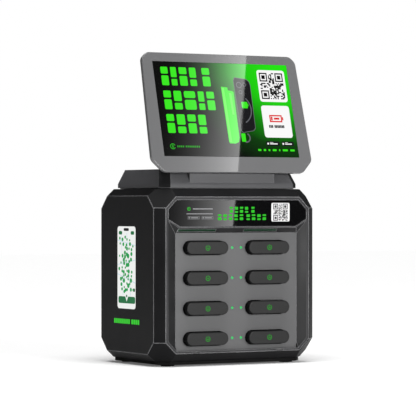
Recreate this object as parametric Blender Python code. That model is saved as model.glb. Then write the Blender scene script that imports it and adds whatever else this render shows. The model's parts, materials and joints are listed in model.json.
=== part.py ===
"""Phone charging kiosk: an eight-slot power bank station with a tilting display on top.

Units are metres. -Y is the customer's side, +X is the customer's right, +Z is up and the floor is z = 0.
The origin lies under the middle of the kiosk. Numbers run left column first, top to bottom.
"""

import itertools
import math

import bmesh
import bpy
import numpy as np
from mathutils import Matrix, Vector

# Clearance between pieces that touch
GAP = 0.0003

# Housing: a block with every edge chamfered and every corner cut by a facet
FACE_WIDTH = 0.2327  # flat front face, between the chamfers
FACE_HEIGHT = 0.2172
FACE_CORNER = 0.0164  # corner cut of the front face
CHAMFER_X = 0.0120
CHAMFER_Y = 0.0110
CHAMFER_Z = 0.0100
BODY_DEPTH = 0.1760
WALL = 0.0030
EDGE_ROUND = 0.0010
BANK_PROUD = 0.0050  # how far a power bank stands out of the front face
FOOT_HEIGHT = 0.0020
SKIRT_TOP = 0.0067
FACE_BOTTOM = 0.0170
FACE_TOP = FACE_BOTTOM + FACE_HEIGHT
FRONT = -(BODY_DEPTH - BANK_PROUD) / 2
BACK = FRONT + BODY_DEPTH
BODY_BOTTOM = FACE_BOTTOM - CHAMFER_Z
BODY_TOP = FACE_TOP + CHAMFER_Z
HALF_FACE = FACE_WIDTH / 2
HALF_BODY = HALF_FACE + CHAMFER_X
SIDE_CORNER = FACE_CORNER + CHAMFER_X - CHAMFER_Y  # keeps each corner facet flat
FACE_MID = (FACE_TOP + FACE_BOTTOM) / 2

# Front frame, header panel and slot panel
OPENING_INSET = 0.0012
FRAME_INSET = 0.0016
FRAME_DEPTH = 0.0080
RIM = 0.0035
HEADER_BOTTOM = FACE_BOTTOM + 0.1745
HEADER_SHOULDER = FACE_BOTTOM + 0.1850
HEADER_FLAT = 0.0930  # half width of the header's bottom edge
HEADER_SET_BACK = 0.0004
HEADER_THICK = 0.0025
PANEL_HALF = 0.0976
PANEL_BOTTOM = FACE_BOTTOM + 0.0045
PANEL_TOP = FACE_BOTTOM + 0.1665
PANEL_CORNER = 0.0012
PANEL_SET_BACK = 0.0050
PANEL_THICK = 0.0025
LED_WIDTH = 0.0036
LED_THICK = 0.0016
LED_SPANS = {"left": (-0.0945, -0.0350), "right": (0.0100, 0.0630)}

# Power banks and the slots that hold them
BANK_WIDTH = 0.0660
BANK_HEIGHT = 0.0180
BANK_LENGTH = 0.1330
BANK_EDGE = 0.0016
SLOT_CLEARANCE = 0.0013
COLUMN_X = {"left": -0.0515, "right": 0.0475}
INDICATOR_X = {"left": -0.0070, "right": 0.0070}
INDICATOR_RADIUS = 0.0019
ROW_COUNT = 4
ROW_PITCH = 0.04167
LOWEST_ROW = FACE_BOTTOM + 0.0207
CASSETTE_WALL = 0.0015
CASSETTE_SIDE = 0.0008  # sideways room for the power bank
LATCH_BACK = 0.0600  # latch distance behind the front face
LATCH_SIZE = 0.0060
LATCH_LENGTH = 0.0146
LATCH_TRAVEL = 0.0040

# Plinth, neck and display
PLINTH_HALF = 0.1110
PLINTH_FRONT = FRONT + 0.0160
PLINTH_BACK = BACK - 0.0166
PLINTH_CORNER = 0.0125
PLINTH_SEAT = BODY_TOP + GAP
PLINTH_LIP = BODY_TOP + 0.0013
PLINTH_SLOPE = FACE_BOTTOM + 0.2342
PLINTH_TOP = FACE_BOTTOM + 0.2540
PLINTH_LEAN = (0.0060, 0.0110)  # how far the sides and the ends lean in
NECK_HALF = 0.0680
NECK_FRONT = PLINTH_FRONT + 0.0007
NECK_TOP = FACE_BOTTOM + 0.2480
HINGE_TROUGH = FACE_BOTTOM + 0.2510
TILT = math.radians(15.0)
DISPLAY_FOOT = (FRONT + 0.0091, FACE_BOTTOM + 0.2499)  # y, z of the display's lower front edge
DISPLAY_BOTTOM_WIDTH = 0.2591
DISPLAY_TOP_WIDTH = 0.2485
DISPLAY_HEIGHT = 0.1721
DISPLAY_BOTTOM_CORNER = 0.0178
DISPLAY_TOP_CORNER = 0.0085
BEZEL_THICK = 0.0040
DISPLAY_THICK = 0.0240
DISPLAY_EDGE = 0.0055  # height of the straight side wall, bezel included
DISPLAY_TAPER = 0.0250
DISPLAY_WALL = 0.0030
SCREEN_WIDTH = 0.2170
SCREEN_HEIGHT = 0.1361
SCREEN_BOTTOM = 0.0228
HINGE_UP = 0.0120  # hinge axis, up from the display's lower edge and back from its face
HINGE_BACK = 0.0205
KNUCKLE_RADIUS = 0.0040
PIN_RADIUS = 0.0018
BRACKET_THICK = 0.0028
BRACKET_SPAN = (0.0080, 0.0680)  # from below its bend to its top, up from the hinge axis

# Rear panel and its door
DOOR_HALF = 0.0780
DOOR_BOTTOM = FACE_BOTTOM + 0.0800
DOOR_TOP = FACE_BOTTOM + 0.1950
DOOR_THICK = 0.0040
DOOR_GAP = 0.0006
LOCK_X = 0.0640
LOCK_RADIUS = 0.0080
LOCK_LENGTH = 0.0070
CAM_HALF = 0.0060
CAM_REACH = 0.0220
CAM_THICK = 0.0020
HINGE_STUD = 0.0010  # radius of the door's pivot studs
VENT_COUNT = 9
VENT_START = 0.0060
VENT_PITCH = 0.0100
VENT_WIDTH = 0.0030
VENT_SPAN = (FACE_BOTTOM + 0.0250, FACE_BOTTOM + 0.0610)
INLET = (-0.0700, FACE_BOTTOM + 0.0430)
INLET_SIZE = (0.0270, 0.0200)
SWITCH = (-0.0350, FACE_BOTTOM + 0.0430)
SWITCH_SIZE = (0.0130, 0.0190)
SWITCH_TILT = math.radians(10.0)
INLET_DEPTH = 0.0240
SOCKET_DEPTH = 0.0160

# Base and the inside
BASE_INSET_X = 0.0030
BASE_INSET_Y = 0.0020
BASE_CORNER = 0.0120
FOOT_INSET = 0.0180
FOOT_RINGS = ((0, 0.0090), (FOOT_HEIGHT, 0.0100))  # height, radius
CABLE_HOLE = 0.0120  # radius of the hole for the display's cable
CABLE_HOLE_Y = 0.0200
BOARD = ((-0.0700, FRONT + 0.1400, FACE_BOTTOM + 0.0850), (0.0450, FRONT + 0.1416, FACE_BOTTOM + 0.1900))
SUPPLY = ((-0.0200, FRONT + 0.1380, FACE_BOTTOM + 0.0120), (0.0850, FRONT + 0.1660, FACE_BOTTOM + 0.0700))
RAIL_HALF = 0.0080
PLUG_NOTCH = (0.0672, 0.0057, 0.0026)  # x of the middle, half width and height of the frame's lower notches

PALETTE = {
    "black_abs": ((0.018, 0.018, 0.019), 0.45, 0.0),
    "dark_abs": ((0.045, 0.045, 0.047), 0.4, 0.0),
    "grey_panel": ((0.19, 0.19, 0.19), 0.5, 0.0),
    "gloss_black": ((0.008, 0.008, 0.009), 0.06, 0.0),
    "bank_shell": ((0.055, 0.055, 0.052), 0.45, 0.0),
    "led_green": ((0.01, 0.55, 0.12), 0.3, 0.0),
    "led_dark": ((0.004, 0.03, 0.012), 0.2, 0.0),
    "rubber": ((0.012, 0.012, 0.012), 0.9, 0.0),
    "steel": ((0.45, 0.45, 0.46), 0.35, 1.0),
    "bezel_grey": ((0.2, 0.2, 0.2), 0.2, 0.0),
    "screen": ((0.02, 0.2, 0.02), 0.1, 0.0),
    "board": ((0.01, 0.12, 0.03), 0.5, 0.0),
    "natural_nylon": ((0.5, 0.5, 0.48), 0.5, 0.0),
}


def clear_scene():
    for obj in list(bpy.data.objects):
        bpy.data.objects.remove(obj, do_unlink=True)


def material(name):
    made = bpy.data.materials.get(name)
    if made is None:
        colour, roughness, metallic = PALETTE[name]
        made = bpy.data.materials.new(name)
        made.use_nodes = True
        shader = made.node_tree.nodes["Principled BSDF"]
        shader.inputs["Base Color"].default_value = (*colour, 1.0)
        shader.inputs["Roughness"].default_value = roughness
        shader.inputs["Metallic"].default_value = metallic
    return made


def add_mesh(name, mesh, location=(0, 0, 0), parent=None):
    obj = bpy.data.objects.new(name, mesh)
    obj.location = location
    obj.parent = parent
    bpy.context.scene.collection.objects.link(obj)
    return obj


def mesh_from(bm, name, skin):
    bmesh.ops.recalc_face_normals(bm, faces=bm.faces[:])
    mesh = bpy.data.meshes.new(name)
    bm.to_mesh(mesh)
    bm.free()
    if skin:
        mesh.materials.append(material(skin))
        mesh.shade_smooth()
        mesh.set_sharp_from_angle(angle=math.radians(35))
    return mesh


def piece(name, bm, skin, location=(0, 0, 0), parent=None):
    """A node of the kiosk."""
    return add_mesh(name, mesh_from(bm, name, skin), location, parent)


def modify(obj, operation, bm):
    """Cuts, joins or intersects obj with a hidden helper that shares its frame."""
    bmesh.ops.triangulate(bm, faces=[f for f in bm.faces if len(f.verts) == 4])
    helper = add_mesh("helper", mesh_from(bm, "helper", None), obj.location, obj.parent)
    helper.hide_render = True
    helper.display_type = "WIRE"
    boolean = obj.modifiers.new(operation.lower(), "BOOLEAN")
    boolean.operation = operation
    boolean.solver = "EXACT"
    boolean.object = helper


def cut(obj, *shapes):
    for bm in shapes:
        modify(obj, "DIFFERENCE", bm)


def join(obj, *shapes):
    for bm in shapes:
        modify(obj, "UNION", bm)


def round_edges(obj, width, segments=2):
    bevel = obj.modifiers.new("round", "BEVEL")
    bevel.width = width
    bevel.segments = segments
    bevel.limit_method = "ANGLE"
    bevel.angle_limit = math.radians(35)
    bevel.use_clamp_overlap = True


def triangulated(bm):
    """The same shape in triangles, so that no face is left to be split another way."""
    bmesh.ops.triangulate(bm, faces=bm.faces[:])
    return bm


def loft(rings):
    """A closed solid through rings of equally many points."""
    bm = bmesh.new()
    loops = [[bm.verts.new(point) for point in ring] for ring in rings]
    for low, high in zip(loops, loops[1:]):
        for i in range(len(low)):
            j = (i + 1) % len(low)
            bm.faces.new((low[i], low[j], high[j], high[i]))
    bm.faces.new(reversed(loops[0]))
    bm.faces.new(loops[-1])
    return bm


def place(point, axis, along):
    """A 3-D point from two coordinates and its value along the left-out axis."""
    values = list(point)
    values.insert("xyz".index(axis), along)
    return values


def prism(outline, axis, low, high):
    """The outline, two coordinates in X, Y, Z order, extruded along axis."""
    return loft([[place(p, axis, v) for p in outline] for v in (low, high)])


def box(low, high):
    (x0, y0, z0), (x1, y1, z1) = low, high
    return prism([(x0, y0), (x1, y0), (x1, y1), (x0, y1)], "z", z0, z1)


def merged(shapes):
    """Several disjoint shapes as one cutter."""
    whole = bmesh.new()
    for bm in shapes:
        mesh = bpy.data.meshes.new("merge")
        bm.to_mesh(mesh)
        bm.free()
        whole.from_mesh(mesh)
        bpy.data.meshes.remove(mesh)
    return whole


def arc(centre, radius, start, end, steps):
    angles = [math.radians(start + (end - start) * i / steps) for i in range(steps + 1)]
    return [(centre[0] + radius * math.cos(a), centre[1] + radius * math.sin(a)) for a in angles]


def circle(centre, radius, steps=24):
    return arc(centre, radius, 0, 360, steps)[:-1]


def stadium(centre, width, height, steps=8):
    reach = (width - height) / 2
    right = arc((centre[0] + reach, centre[1]), height / 2, -90, 90, steps)
    left = arc((centre[0] - reach, centre[1]), height / 2, 90, 270, steps)
    return right + left


def cut_corner_box(low, high, corner):
    """An octagon: the rectangle low to high with its corners cut."""
    (u0, v0), (u1, v1), c = low, high, corner
    return [
        (u0 + c, v0), (u1 - c, v0), (u1, v0 + c), (u1, v1 - c),
        (u1 - c, v1), (u0 + c, v1), (u0, v1 - c), (u0, v0 + c),
    ]


def inset_octagon(low, high, corner, inset):
    """The octagon with every side moved in by inset."""
    smaller = corner - inset * (2 - math.sqrt(2))
    (u0, v0), (u1, v1) = low, high
    return cut_corner_box((u0 + inset, v0 + inset), (u1 - inset, v1 - inset), smaller)


def face_outline(inset):
    return inset_octagon((-HALF_FACE, FACE_BOTTOM), (HALF_FACE, FACE_TOP), FACE_CORNER, inset)


def side_outline(inset):
    low = (FRONT + CHAMFER_Y, FACE_BOTTOM)
    high = (BACK - CHAMFER_Y, FACE_TOP)
    return inset_octagon(low, high, SIDE_CORNER, inset)


def body_planes(inset):
    """(normal, distance) of each face of the housing block, moved in by inset, about its centre."""
    half = Vector((HALF_BODY, BODY_DEPTH / 2, FACE_HEIGHT / 2 + CHAMFER_Z))
    flat = Vector((HALF_FACE, BODY_DEPTH / 2 - CHAMFER_Y, FACE_HEIGHT / 2))
    planes = []
    for axis in range(3):
        planes += [(Vector([s * (i == axis) for i in range(3)]), half[axis]) for s in (-1, 1)]
    for a, b in ((0, 1), (0, 2), (1, 2)):
        for sa, sb in itertools.product((-1, 1), repeat=2):
            normal = Vector((0, 0, 0))
            normal[a] = sa * (half[b] - flat[b])
            normal[b] = sb * (half[a] - flat[a])
            normal.normalize()
            planes.append((normal, abs(normal[a]) * half[a] + abs(normal[b]) * flat[b]))
    corner = Vector((HALF_FACE - FACE_CORNER, half[1], flat[2]))
    for signs in itertools.product((-1, 1), repeat=3):
        normal = Vector(signs).normalized()
        planes.append((normal, sum(abs(n) * c for n, c in zip(normal, corner))))
    centre = Vector((0, (FRONT + BACK) / 2, FACE_MID))
    return [(n, d - inset + n.dot(centre)) for n, d in planes]


def hull_of_planes(planes):
    """The convex solid on the inner side of every plane."""
    normals = np.array([n for n, _ in planes])
    distances = np.array([d for _, d in planes])
    corners = []
    for trio in itertools.combinations(range(len(planes)), 3):
        rows = list(trio)
        if abs(np.linalg.det(normals[rows])) < 1e-6:
            continue
        point = np.linalg.solve(normals[rows], distances[rows])
        if (normals @ point <= distances + 1e-8).all():
            corners.append(tuple(np.round(point, 7)))
    bm = bmesh.new()
    for point in sorted(set(corners)):
        bm.verts.new(point)
    bmesh.ops.convex_hull(bm, input=bm.verts[:])
    bmesh.ops.dissolve_limit(bm, angle_limit=0.01, verts=bm.verts[:], edges=bm.edges[:])
    return bm


def rounded_block():
    """The housing's outer shape, with its edges rounded."""
    bm = hull_of_planes(body_planes(0))
    bmesh.ops.bevel(bm, geom=bm.edges[:], offset=EDGE_ROUND, segments=2, profile=0.5, affect="EDGES")
    return bm


def housing_openings():
    """The four octagons that the side panels, the front frame and the rear panel fill."""
    shapes = []
    outer, inner = HALF_BODY + WALL, HALF_BODY - 2 * WALL
    for low, high in ((-outer, -inner), (inner, outer)):
        shapes.append(prism(side_outline(0), "x", low, high))
    depth = CHAMFER_Y + WALL
    for low, high in ((FRONT - WALL, FRONT + depth), (BACK - depth, BACK + WALL)):
        shapes.append(prism(face_outline(OPENING_INSET), "y", low, high))
    return shapes


def housing_piece(name, low, high):
    """The part of the hollow housing block between two corners of a box."""
    obj = piece(name, rounded_block(), "black_abs")
    modify(obj, "INTERSECT", box(low, high))
    cut(obj, hull_of_planes(body_planes(WALL)), *housing_openings())
    return obj


def make_housing():
    far = 0.3
    low_seam = FACE_BOTTOM + FACE_CORNER
    high_seam = FACE_TOP - FACE_CORNER
    top = housing_piece("top_cover", (-far, -far, high_seam), (far, far, far))
    hole = circle((0, CABLE_HOLE_Y), CABLE_HOLE)
    cut(top, prism(hole, "z", BODY_TOP - 2 * WALL, BODY_TOP + WALL))
    housing_piece("bottom_cover", (-far, -far, -far), (far, far, low_seam))
    clear = FACE_CORNER
    for side, sx in (("left", -1), ("right", 1)):
        for end, y0, y1 in (("front", -far, FRONT + clear), ("rear", BACK - clear, far)):
            x0, x1 = sorted((sx * (HALF_BODY - clear), sx * far))
            low, high = (x0, y0, low_seam + GAP), (x1, y1, high_seam - GAP)
            housing_piece(f"corner_post_{end}_{side}", low, high)
        x0, x1 = sorted((sx * HALF_BODY, sx * (HALF_BODY - WALL)))
        panel = piece(f"side_panel_{side}", prism(side_outline(GAP), "x", x0, x1), "black_abs")
        round_edges(panel, 0.0004, 1)


def make_base():
    low = (-HALF_FACE + BASE_INSET_X, FRONT + CHAMFER_Y + BASE_INSET_Y)
    high = (HALF_FACE - BASE_INSET_X, BACK - CHAMFER_Y - BASE_INSET_Y)
    outline = cut_corner_box(low, high, BASE_CORNER)
    piece("base_plate", prism(outline, "z", FOOT_HEIGHT + GAP, SKIRT_TOP), "rubber")
    for side, x in (("left", low[0] + FOOT_INSET), ("right", high[0] - FOOT_INSET)):
        for end, y in (("front", low[1] + FOOT_INSET), ("rear", high[1] - FOOT_INSET)):
            rings = [[(x + u, y + v, z) for u, v in circle((0, 0), r)] for z, r in FOOT_RINGS]
            piece(f"foot_{end}_{side}", loft(rings), "rubber")


def header_outline(inset):
    half = HALF_FACE - FRAME_INSET - RIM - inset
    top = FACE_TOP - FRAME_INSET - RIM - inset
    shoulder = FACE_CORNER - (FRAME_INSET + RIM) * (2 - math.sqrt(2)) - inset * 0.59
    flat = HEADER_FLAT - inset * 0.25
    return [
        (-flat, HEADER_BOTTOM + inset), (flat, HEADER_BOTTOM + inset),
        (half, HEADER_SHOULDER + inset * 0.5),
        (half, top - shoulder), (half - shoulder, top), (-half + shoulder, top),
        (-half, top - shoulder), (-half, HEADER_SHOULDER + inset * 0.5),
    ]


def slot_window():
    """The funnel through the front frame, from its wide mouth back to the slot panel."""
    half = HALF_FACE - FRAME_INSET - RIM
    corner = FACE_BOTTOM + 0.0185
    low, step = PANEL_BOTTOM - GAP, PANEL_CORNER
    front = [
        (-PANEL_HALF, low), (PANEL_HALF, low),
        (half, corner), (half, HEADER_SHOULDER - step),
        (HEADER_FLAT + step, HEADER_BOTTOM - step), (-HEADER_FLAT - step, HEADER_BOTTOM - step),
        (-half, HEADER_SHOULDER - step), (-half, corner),
    ]
    back = [
        (-PANEL_HALF, low), (PANEL_HALF, low),
        (PANEL_HALF, corner - 0.006), (PANEL_HALF, PANEL_TOP - step),
        (PANEL_HALF - step, PANEL_TOP), (-PANEL_HALF + step, PANEL_TOP),
        (-PANEL_HALF, PANEL_TOP - step), (-PANEL_HALF, corner - 0.006),
    ]
    depths = (FRONT - 0.0001, FRONT + PANEL_SET_BACK, FRONT + FRAME_DEPTH + WALL)
    return loft([[place(p, "y", y) for p in ring] for ring, y in zip((front, back, back), depths)])


def led_frame():
    """Matrix at the middle of the sloping band: its Z runs up the slope and its Y into the frame."""
    top = Vector((0, FRONT, HEADER_BOTTOM - 0.0012))
    foot = Vector((0, FRONT + PANEL_SET_BACK, PANEL_TOP))
    up = (top - foot).normalized()
    inward = Vector((1, 0, 0)).cross(up) * -1
    turn = Matrix((Vector((1, 0, 0)), inward, up)).transposed().to_4x4()
    return Matrix.Translation((top + foot) / 2) @ turn


def led_block(span, grow, proud):
    x0, x1 = span
    half = LED_WIDTH / 2 + grow
    bm = box((x0 - grow, -proud, -half), (x1 + grow, LED_THICK + grow, half))
    bm.transform(led_frame())
    return bm


def make_front():
    block = prism(face_outline(FRAME_INSET), "y", FRONT, FRONT + FRAME_DEPTH)
    frame = piece("front_frame", block, "dark_abs")
    pocket = HEADER_SET_BACK + HEADER_THICK + GAP
    cut(frame, prism(header_outline(0), "y", FRONT - WALL, FRONT + pocket), slot_window())
    middle, half, height = PLUG_NOTCH
    for x in (-middle, middle):
        low, high = (x - half, FRONT - WALL, FACE_BOTTOM), (x + half, FRONT + 0.004, FACE_BOTTOM + height)
        cut(frame, box(low, high))
    front = FRONT + HEADER_SET_BACK
    block = prism(header_outline(GAP), "y", front, front + HEADER_THICK)
    header = piece("header_panel", block, "gloss_black")
    round_edges(header, 0.0005, 2)
    for side, span in LED_SPANS.items():
        cut(frame, led_block(span, GAP, 0.004))
        piece(f"led_bar_{side}", led_block(span, 0, 0), "led_dark")


def slots():
    """(number, column, x, z) of each slot."""
    found = []
    for column in ("left", "right"):
        for row in range(ROW_COUNT):
            z = LOWEST_ROW + (ROW_COUNT - 1 - row) * ROW_PITCH
            found.append((len(found) + 1, column, COLUMN_X[column], z))
    return found


def make_slot_panel():
    y0 = FRONT + PANEL_SET_BACK
    y1 = y0 + PANEL_THICK
    half, top = PANEL_HALF - GAP, PANEL_TOP - GAP
    right = [(half, PANEL_BOTTOM), (half, top - PANEL_CORNER), (half - PANEL_CORNER, top)]
    outline = right + [(-x, z) for x, z in reversed(right)]
    panel = piece("slot_panel", prism(outline, "y", y0, y1), "grey_panel")
    width, height = BANK_WIDTH + 2 * SLOT_CLEARANCE, BANK_HEIGHT + 2 * SLOT_CLEARANCE
    mouths = [stadium((x, z), width, height, 6) for _, _, x, z in slots()]
    holes = [prism(mouth, "y", y0 - WALL, y1 + WALL) for mouth in mouths]
    lamps = [(INDICATOR_X[column], z) for _, column, _, z in slots()]
    holes += [prism(circle(p, INDICATOR_RADIUS + GAP, 12), "y", y0 - WALL, y1 + WALL) for p in lamps]
    cut(panel, merged(holes))
    for column, x in INDICATOR_X.items():
        rows = [z for _, c, _, z in slots() if c == column]
        strip = box((x - 0.0026, y1 + GAP, rows[-1] - 0.006), (x + 0.0026, y1 + 0.0022, rows[0] + 0.006))
        pipe = piece(f"indicator_pipe_{column}", strip, "led_green")
        studs = [prism(circle((x, z), INDICATOR_RADIUS, 12), "y", y0 - 0.0003, y1 + 0.001) for z in rows]
        join(pipe, merged(studs))


def bank_mesh():
    """A power bank about the middle of its front face, reaching back along +Y."""
    rings = []
    for y, inset in ((0, BANK_EDGE), (BANK_EDGE * 0.3, BANK_EDGE * 0.3), (BANK_EDGE, 0),
                     (BANK_LENGTH - BANK_EDGE, 0), (BANK_LENGTH, BANK_EDGE)):
        outline = stadium((0, 0), BANK_WIDTH - 2 * inset, BANK_HEIGHT - 2 * inset)
        rings.append([place(p, "y", y) for p in outline])
    return loft(rings)


def latch_notches():
    """The two pockets in a power bank's sides that a latch enters."""
    middle, half = LATCH_BACK + BANK_PROUD, LATCH_SIZE / 2 + 0.0006
    depth = LATCH_TRAVEL + 0.0004
    edge = BANK_WIDTH / 2
    spans = ((-edge - 0.002, -edge + depth), (edge - depth, edge + 0.002))
    return merged([box((x0, middle - half, -half), (x1, middle + half, half)) for x0, x1 in spans])


def make_banks():
    for number, _, x, z in slots():
        bank = piece(f"power_bank_{number}", bank_mesh(), "bank_shell", (x, FRONT - BANK_PROUD, z))
        cut(bank, latch_notches())


def cassette_mesh():
    """A slot's tray about the middle of its mouth: floor, two sides and a back, open at the top."""
    half = BANK_WIDTH / 2 + CASSETTE_SIDE
    floor = -BANK_HEIGHT / 2 - GAP
    wall, top = CASSETTE_WALL, BANK_HEIGHT / 2
    section = [
        (-half - wall, floor - wall), (half + wall, floor - wall), (half + wall, top), (half, top),
        (half, floor), (-half, floor), (-half, top), (-half - wall, top),
    ]
    return prism(section, "y", 0, cassette_length())


def cassette_length():
    front = FRAME_DEPTH + GAP
    back = BANK_LENGTH - BANK_PROUD + 0.0065
    return back - front


def make_cassettes():
    mouth = FRAME_DEPTH + GAP + 0.0015
    half = BANK_WIDTH / 2 + CASSETTE_SIDE + CASSETTE_WALL
    grow = LATCH_SIZE / 2 + GAP
    middle = LATCH_BACK - mouth
    back = cassette_length() - CASSETTE_WALL
    for number, _, x, z in slots():
        tray = piece(f"slot_cassette_{number}", cassette_mesh(), "dark_abs", (x, FRONT + mouth, z))
        wall_floor = -BANK_HEIGHT / 2 - GAP - CASSETTE_WALL
        join(tray, box((-half, back, wall_floor), (half, back + 2 * CASSETTE_WALL, BANK_HEIGHT / 2)))
        cut(tray, box((-half - 0.01, middle - grow, -grow), (half + 0.01, middle + grow, grow)))


def make_latches():
    centre = (COLUMN_X["left"] + COLUMN_X["right"]) / 2
    y = FRONT + LATCH_BACK
    top = LOWEST_ROW + (ROW_COUNT - 1) * ROW_PITCH + 0.012
    low = (centre - RAIL_HALF, y - RAIL_HALF, FACE_BOTTOM + 0.004)
    high = (centre + RAIL_HALF, y + RAIL_HALF, top)
    rail = piece("latch_rail", box(low, high), "steel")
    pockets = []
    half = LATCH_SIZE / 2
    for number, column, x, z in slots():
        inward = 1 if column == "left" else -1
        tip = x + inward * (BANK_WIDTH / 2 + 0.0005)
        tail = tip + inward * LATCH_LENGTH
        x0, x1 = sorted((0, tail - tip))
        bolt = box((x0, -half, -half), (x1, half, half))
        piece(f"slot_latch_{number}", bolt, "natural_nylon", (tip, y, z))
        p0, p1 = sorted((tail + inward * 0.0004, centre - inward * 2 * RAIL_HALF))
        grow = half + GAP
        pockets.append(box((p0, y - grow, z - grow), (p1, y + grow, z + grow)))
    cut(rail, merged(pockets))


def make_insides():
    piece("main_board", box(*BOARD), "board")
    supply = piece("power_supply", box(*SUPPLY), "steel")
    round_edges(supply, 0.001, 1)


def plinth_ring(z, inset_x, inset_y, corner):
    low = (-PLINTH_HALF + inset_x, PLINTH_FRONT + inset_y)
    high = (PLINTH_HALF - inset_x, PLINTH_BACK - inset_y)
    return [place(p, "z", z) for p in cut_corner_box(low, high, corner)]


def hinge_point():
    """y, z of the display's hinge axis."""
    y0, z0 = DISPLAY_FOOT
    y = y0 + HINGE_UP * math.sin(TILT) + HINGE_BACK * math.cos(TILT)
    return y, z0 + HINGE_UP * math.cos(TILT) - HINGE_BACK * math.sin(TILT)


def make_plinth():
    lean_x, lean_y = PLINTH_LEAN
    inset = 0.003
    seat = PLINTH_CORNER - 0.002
    rings = [
        plinth_ring(PLINTH_SEAT, inset, inset, seat), plinth_ring(PLINTH_LIP, inset, inset, seat),
        plinth_ring(PLINTH_LIP, 0, 0, PLINTH_CORNER), plinth_ring(PLINTH_SLOPE, 0, 0, PLINTH_CORNER),
        plinth_ring(PLINTH_TOP, lean_x, lean_y, PLINTH_CORNER - 0.001),
    ]
    plinth = piece("plinth", loft(rings), "dark_abs")
    cavity_top = HINGE_TROUGH - 0.004
    cavity = loft([
        plinth_ring(PLINTH_SEAT - 0.002, 0.007, 0.007, seat),
        plinth_ring(cavity_top, 0.010, 0.015, seat),
    ])
    cut(plinth, cavity)
    y, z = hinge_point()
    neck_back = y + 0.016
    reach = NECK_HALF + 0.001
    trough = box((-reach, PLINTH_FRONT - 0.01, HINGE_TROUGH), (reach, neck_back, PLINTH_TOP + 0.01))
    cut(plinth, trough)
    wedge = NECK_FRONT + HINGE_TROUGH - NECK_TOP
    foot = PLINTH_SLOPE + 0.0015
    inner = neck_back - 0.01
    neck = [
        (NECK_FRONT, foot), (inner, foot), (inner, HINGE_TROUGH), (wedge, HINGE_TROUGH), (NECK_FRONT, NECK_TOP),
    ]
    join(plinth, prism(neck, "x", -NECK_HALF, NECK_HALF))
    ear = KNUCKLE_RADIUS + 0.0002
    root = HINGE_TROUGH - 0.001
    profile = arc((y, z), ear, 0, 180, 10) + [(y - ear, root), (y + ear, root)]
    for x0, x1 in ((-NECK_HALF, -NECK_HALF + 0.009), (NECK_HALF - 0.009, NECK_HALF)):
        join(plinth, prism(profile, "x", x0, x1))
    cut(plinth, prism(circle((y, z), PIN_RADIUS + GAP, 16), "x", -0.2, 0.2))
    pin_half = NECK_HALF - 0.001
    pin = prism(circle((0, 0), PIN_RADIUS, 16), "x", -pin_half, pin_half)
    piece("hinge_pin", pin, "steel", (0, y, z))


def display_outline(inset):
    """x and height above the lower edge, both about the hinge axis, with each cut corner eased."""
    low, high = inset, DISPLAY_HEIGHT - inset
    lean = (DISPLAY_BOTTOM_WIDTH - DISPLAY_TOP_WIDTH) / 2 / DISPLAY_HEIGHT

    def half(height):
        return DISPLAY_BOTTOM_WIDTH / 2 - height * lean - inset

    base = DISPLAY_BOTTOM_CORNER - inset * 0.59
    crown = DISPLAY_TOP_CORNER - inset * 0.3
    right = [(half(low) - base, low), (half(low + base), low + base),
             (half(high - crown), high - crown), (half(high) - crown, high)]
    eased = ease_corners(right + [(-x, h) for x, h in reversed(right)], 0.0045)
    return [(x, h - HINGE_UP) for x, h in eased]


def ease_corners(outline, cut_back):
    """Replaces each corner with two short chords of an arc."""
    points = []
    count = len(outline)
    for i, corner in enumerate(outline):
        here = Vector(corner)
        before = here + (Vector(outline[i - 1]) - here).normalized() * cut_back
        after = here + (Vector(outline[(i + 1) % count]) - here).normalized() * cut_back
        middle = (before + after) / 4 + here / 2
        points += [tuple(before), tuple(middle), tuple(after)]
    return points


def display_box(half_width, low, high, front, back):
    y0, y1 = front - HINGE_BACK, back - HINGE_BACK
    return box((-half_width, y0, low - HINGE_UP), (half_width, y1, high - HINGE_UP))


def display_ring(inset, depth):
    return [place(p, "y", depth - HINGE_BACK) for p in display_outline(inset)]


def make_display():
    y, z = hinge_point()
    axis = bpy.data.objects.new("display_tilt_axis", None)
    axis.location = (0, y, z)
    axis.rotation_euler = (-TILT, 0, 0)
    bpy.context.scene.collection.objects.link(axis)
    screen_top = SCREEN_BOTTOM + SCREEN_HEIGHT
    half = SCREEN_WIDTH / 2
    edge = 0.0006
    frame = triangulated(loft([display_ring(edge, 0), display_ring(0, edge), display_ring(0, BEZEL_THICK)]))
    bezel = piece("display_bezel", frame, "bezel_grey", parent=axis)
    cut(bezel, display_box(half + GAP, SCREEN_BOTTOM - GAP, screen_top + GAP, -0.01, 0.01))
    piece("lcd_panel", display_box(half, SCREEN_BOTTOM, screen_top, 0, 0.007), "screen", parent=axis)
    start = BEZEL_THICK + GAP
    outside = triangulated(loft([
        display_ring(0, start),
        display_ring(0, DISPLAY_EDGE),
        display_ring(DISPLAY_TAPER, DISPLAY_THICK),
    ]))
    shell = piece("display_back_shell", outside, "black_abs", parent=axis)
    hollow = loft([
        display_ring(DISPLAY_WALL, start - 0.001),
        display_ring(DISPLAY_WALL, DISPLAY_EDGE),
        display_ring(DISPLAY_TAPER - 0.001, DISPLAY_THICK - DISPLAY_WALL),
    ])
    cut(shell, hollow)
    make_hinge_bracket(axis)


def make_hinge_bracket(axis):
    """A plate on the display's back that ends in the knuckle round the hinge pin."""
    skin = DISPLAY_THICK + GAP - HINGE_BACK
    outer = skin + BRACKET_THICK
    low, high = BRACKET_SPAN
    plate = [(skin, low + 0.004), (skin, high), (outer, high), (outer, low)]
    profile = arc((0, 0), KNUCKLE_RADIUS, 30, -240, 18) + plate
    half = NECK_HALF - 0.010
    bracket = piece("hinge_bracket", prism(profile, "x", -half, half), "steel", parent=axis)
    cut(bracket, prism(circle((0, 0), PIN_RADIUS + GAP, 16), "x", -0.2, 0.2))


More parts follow.
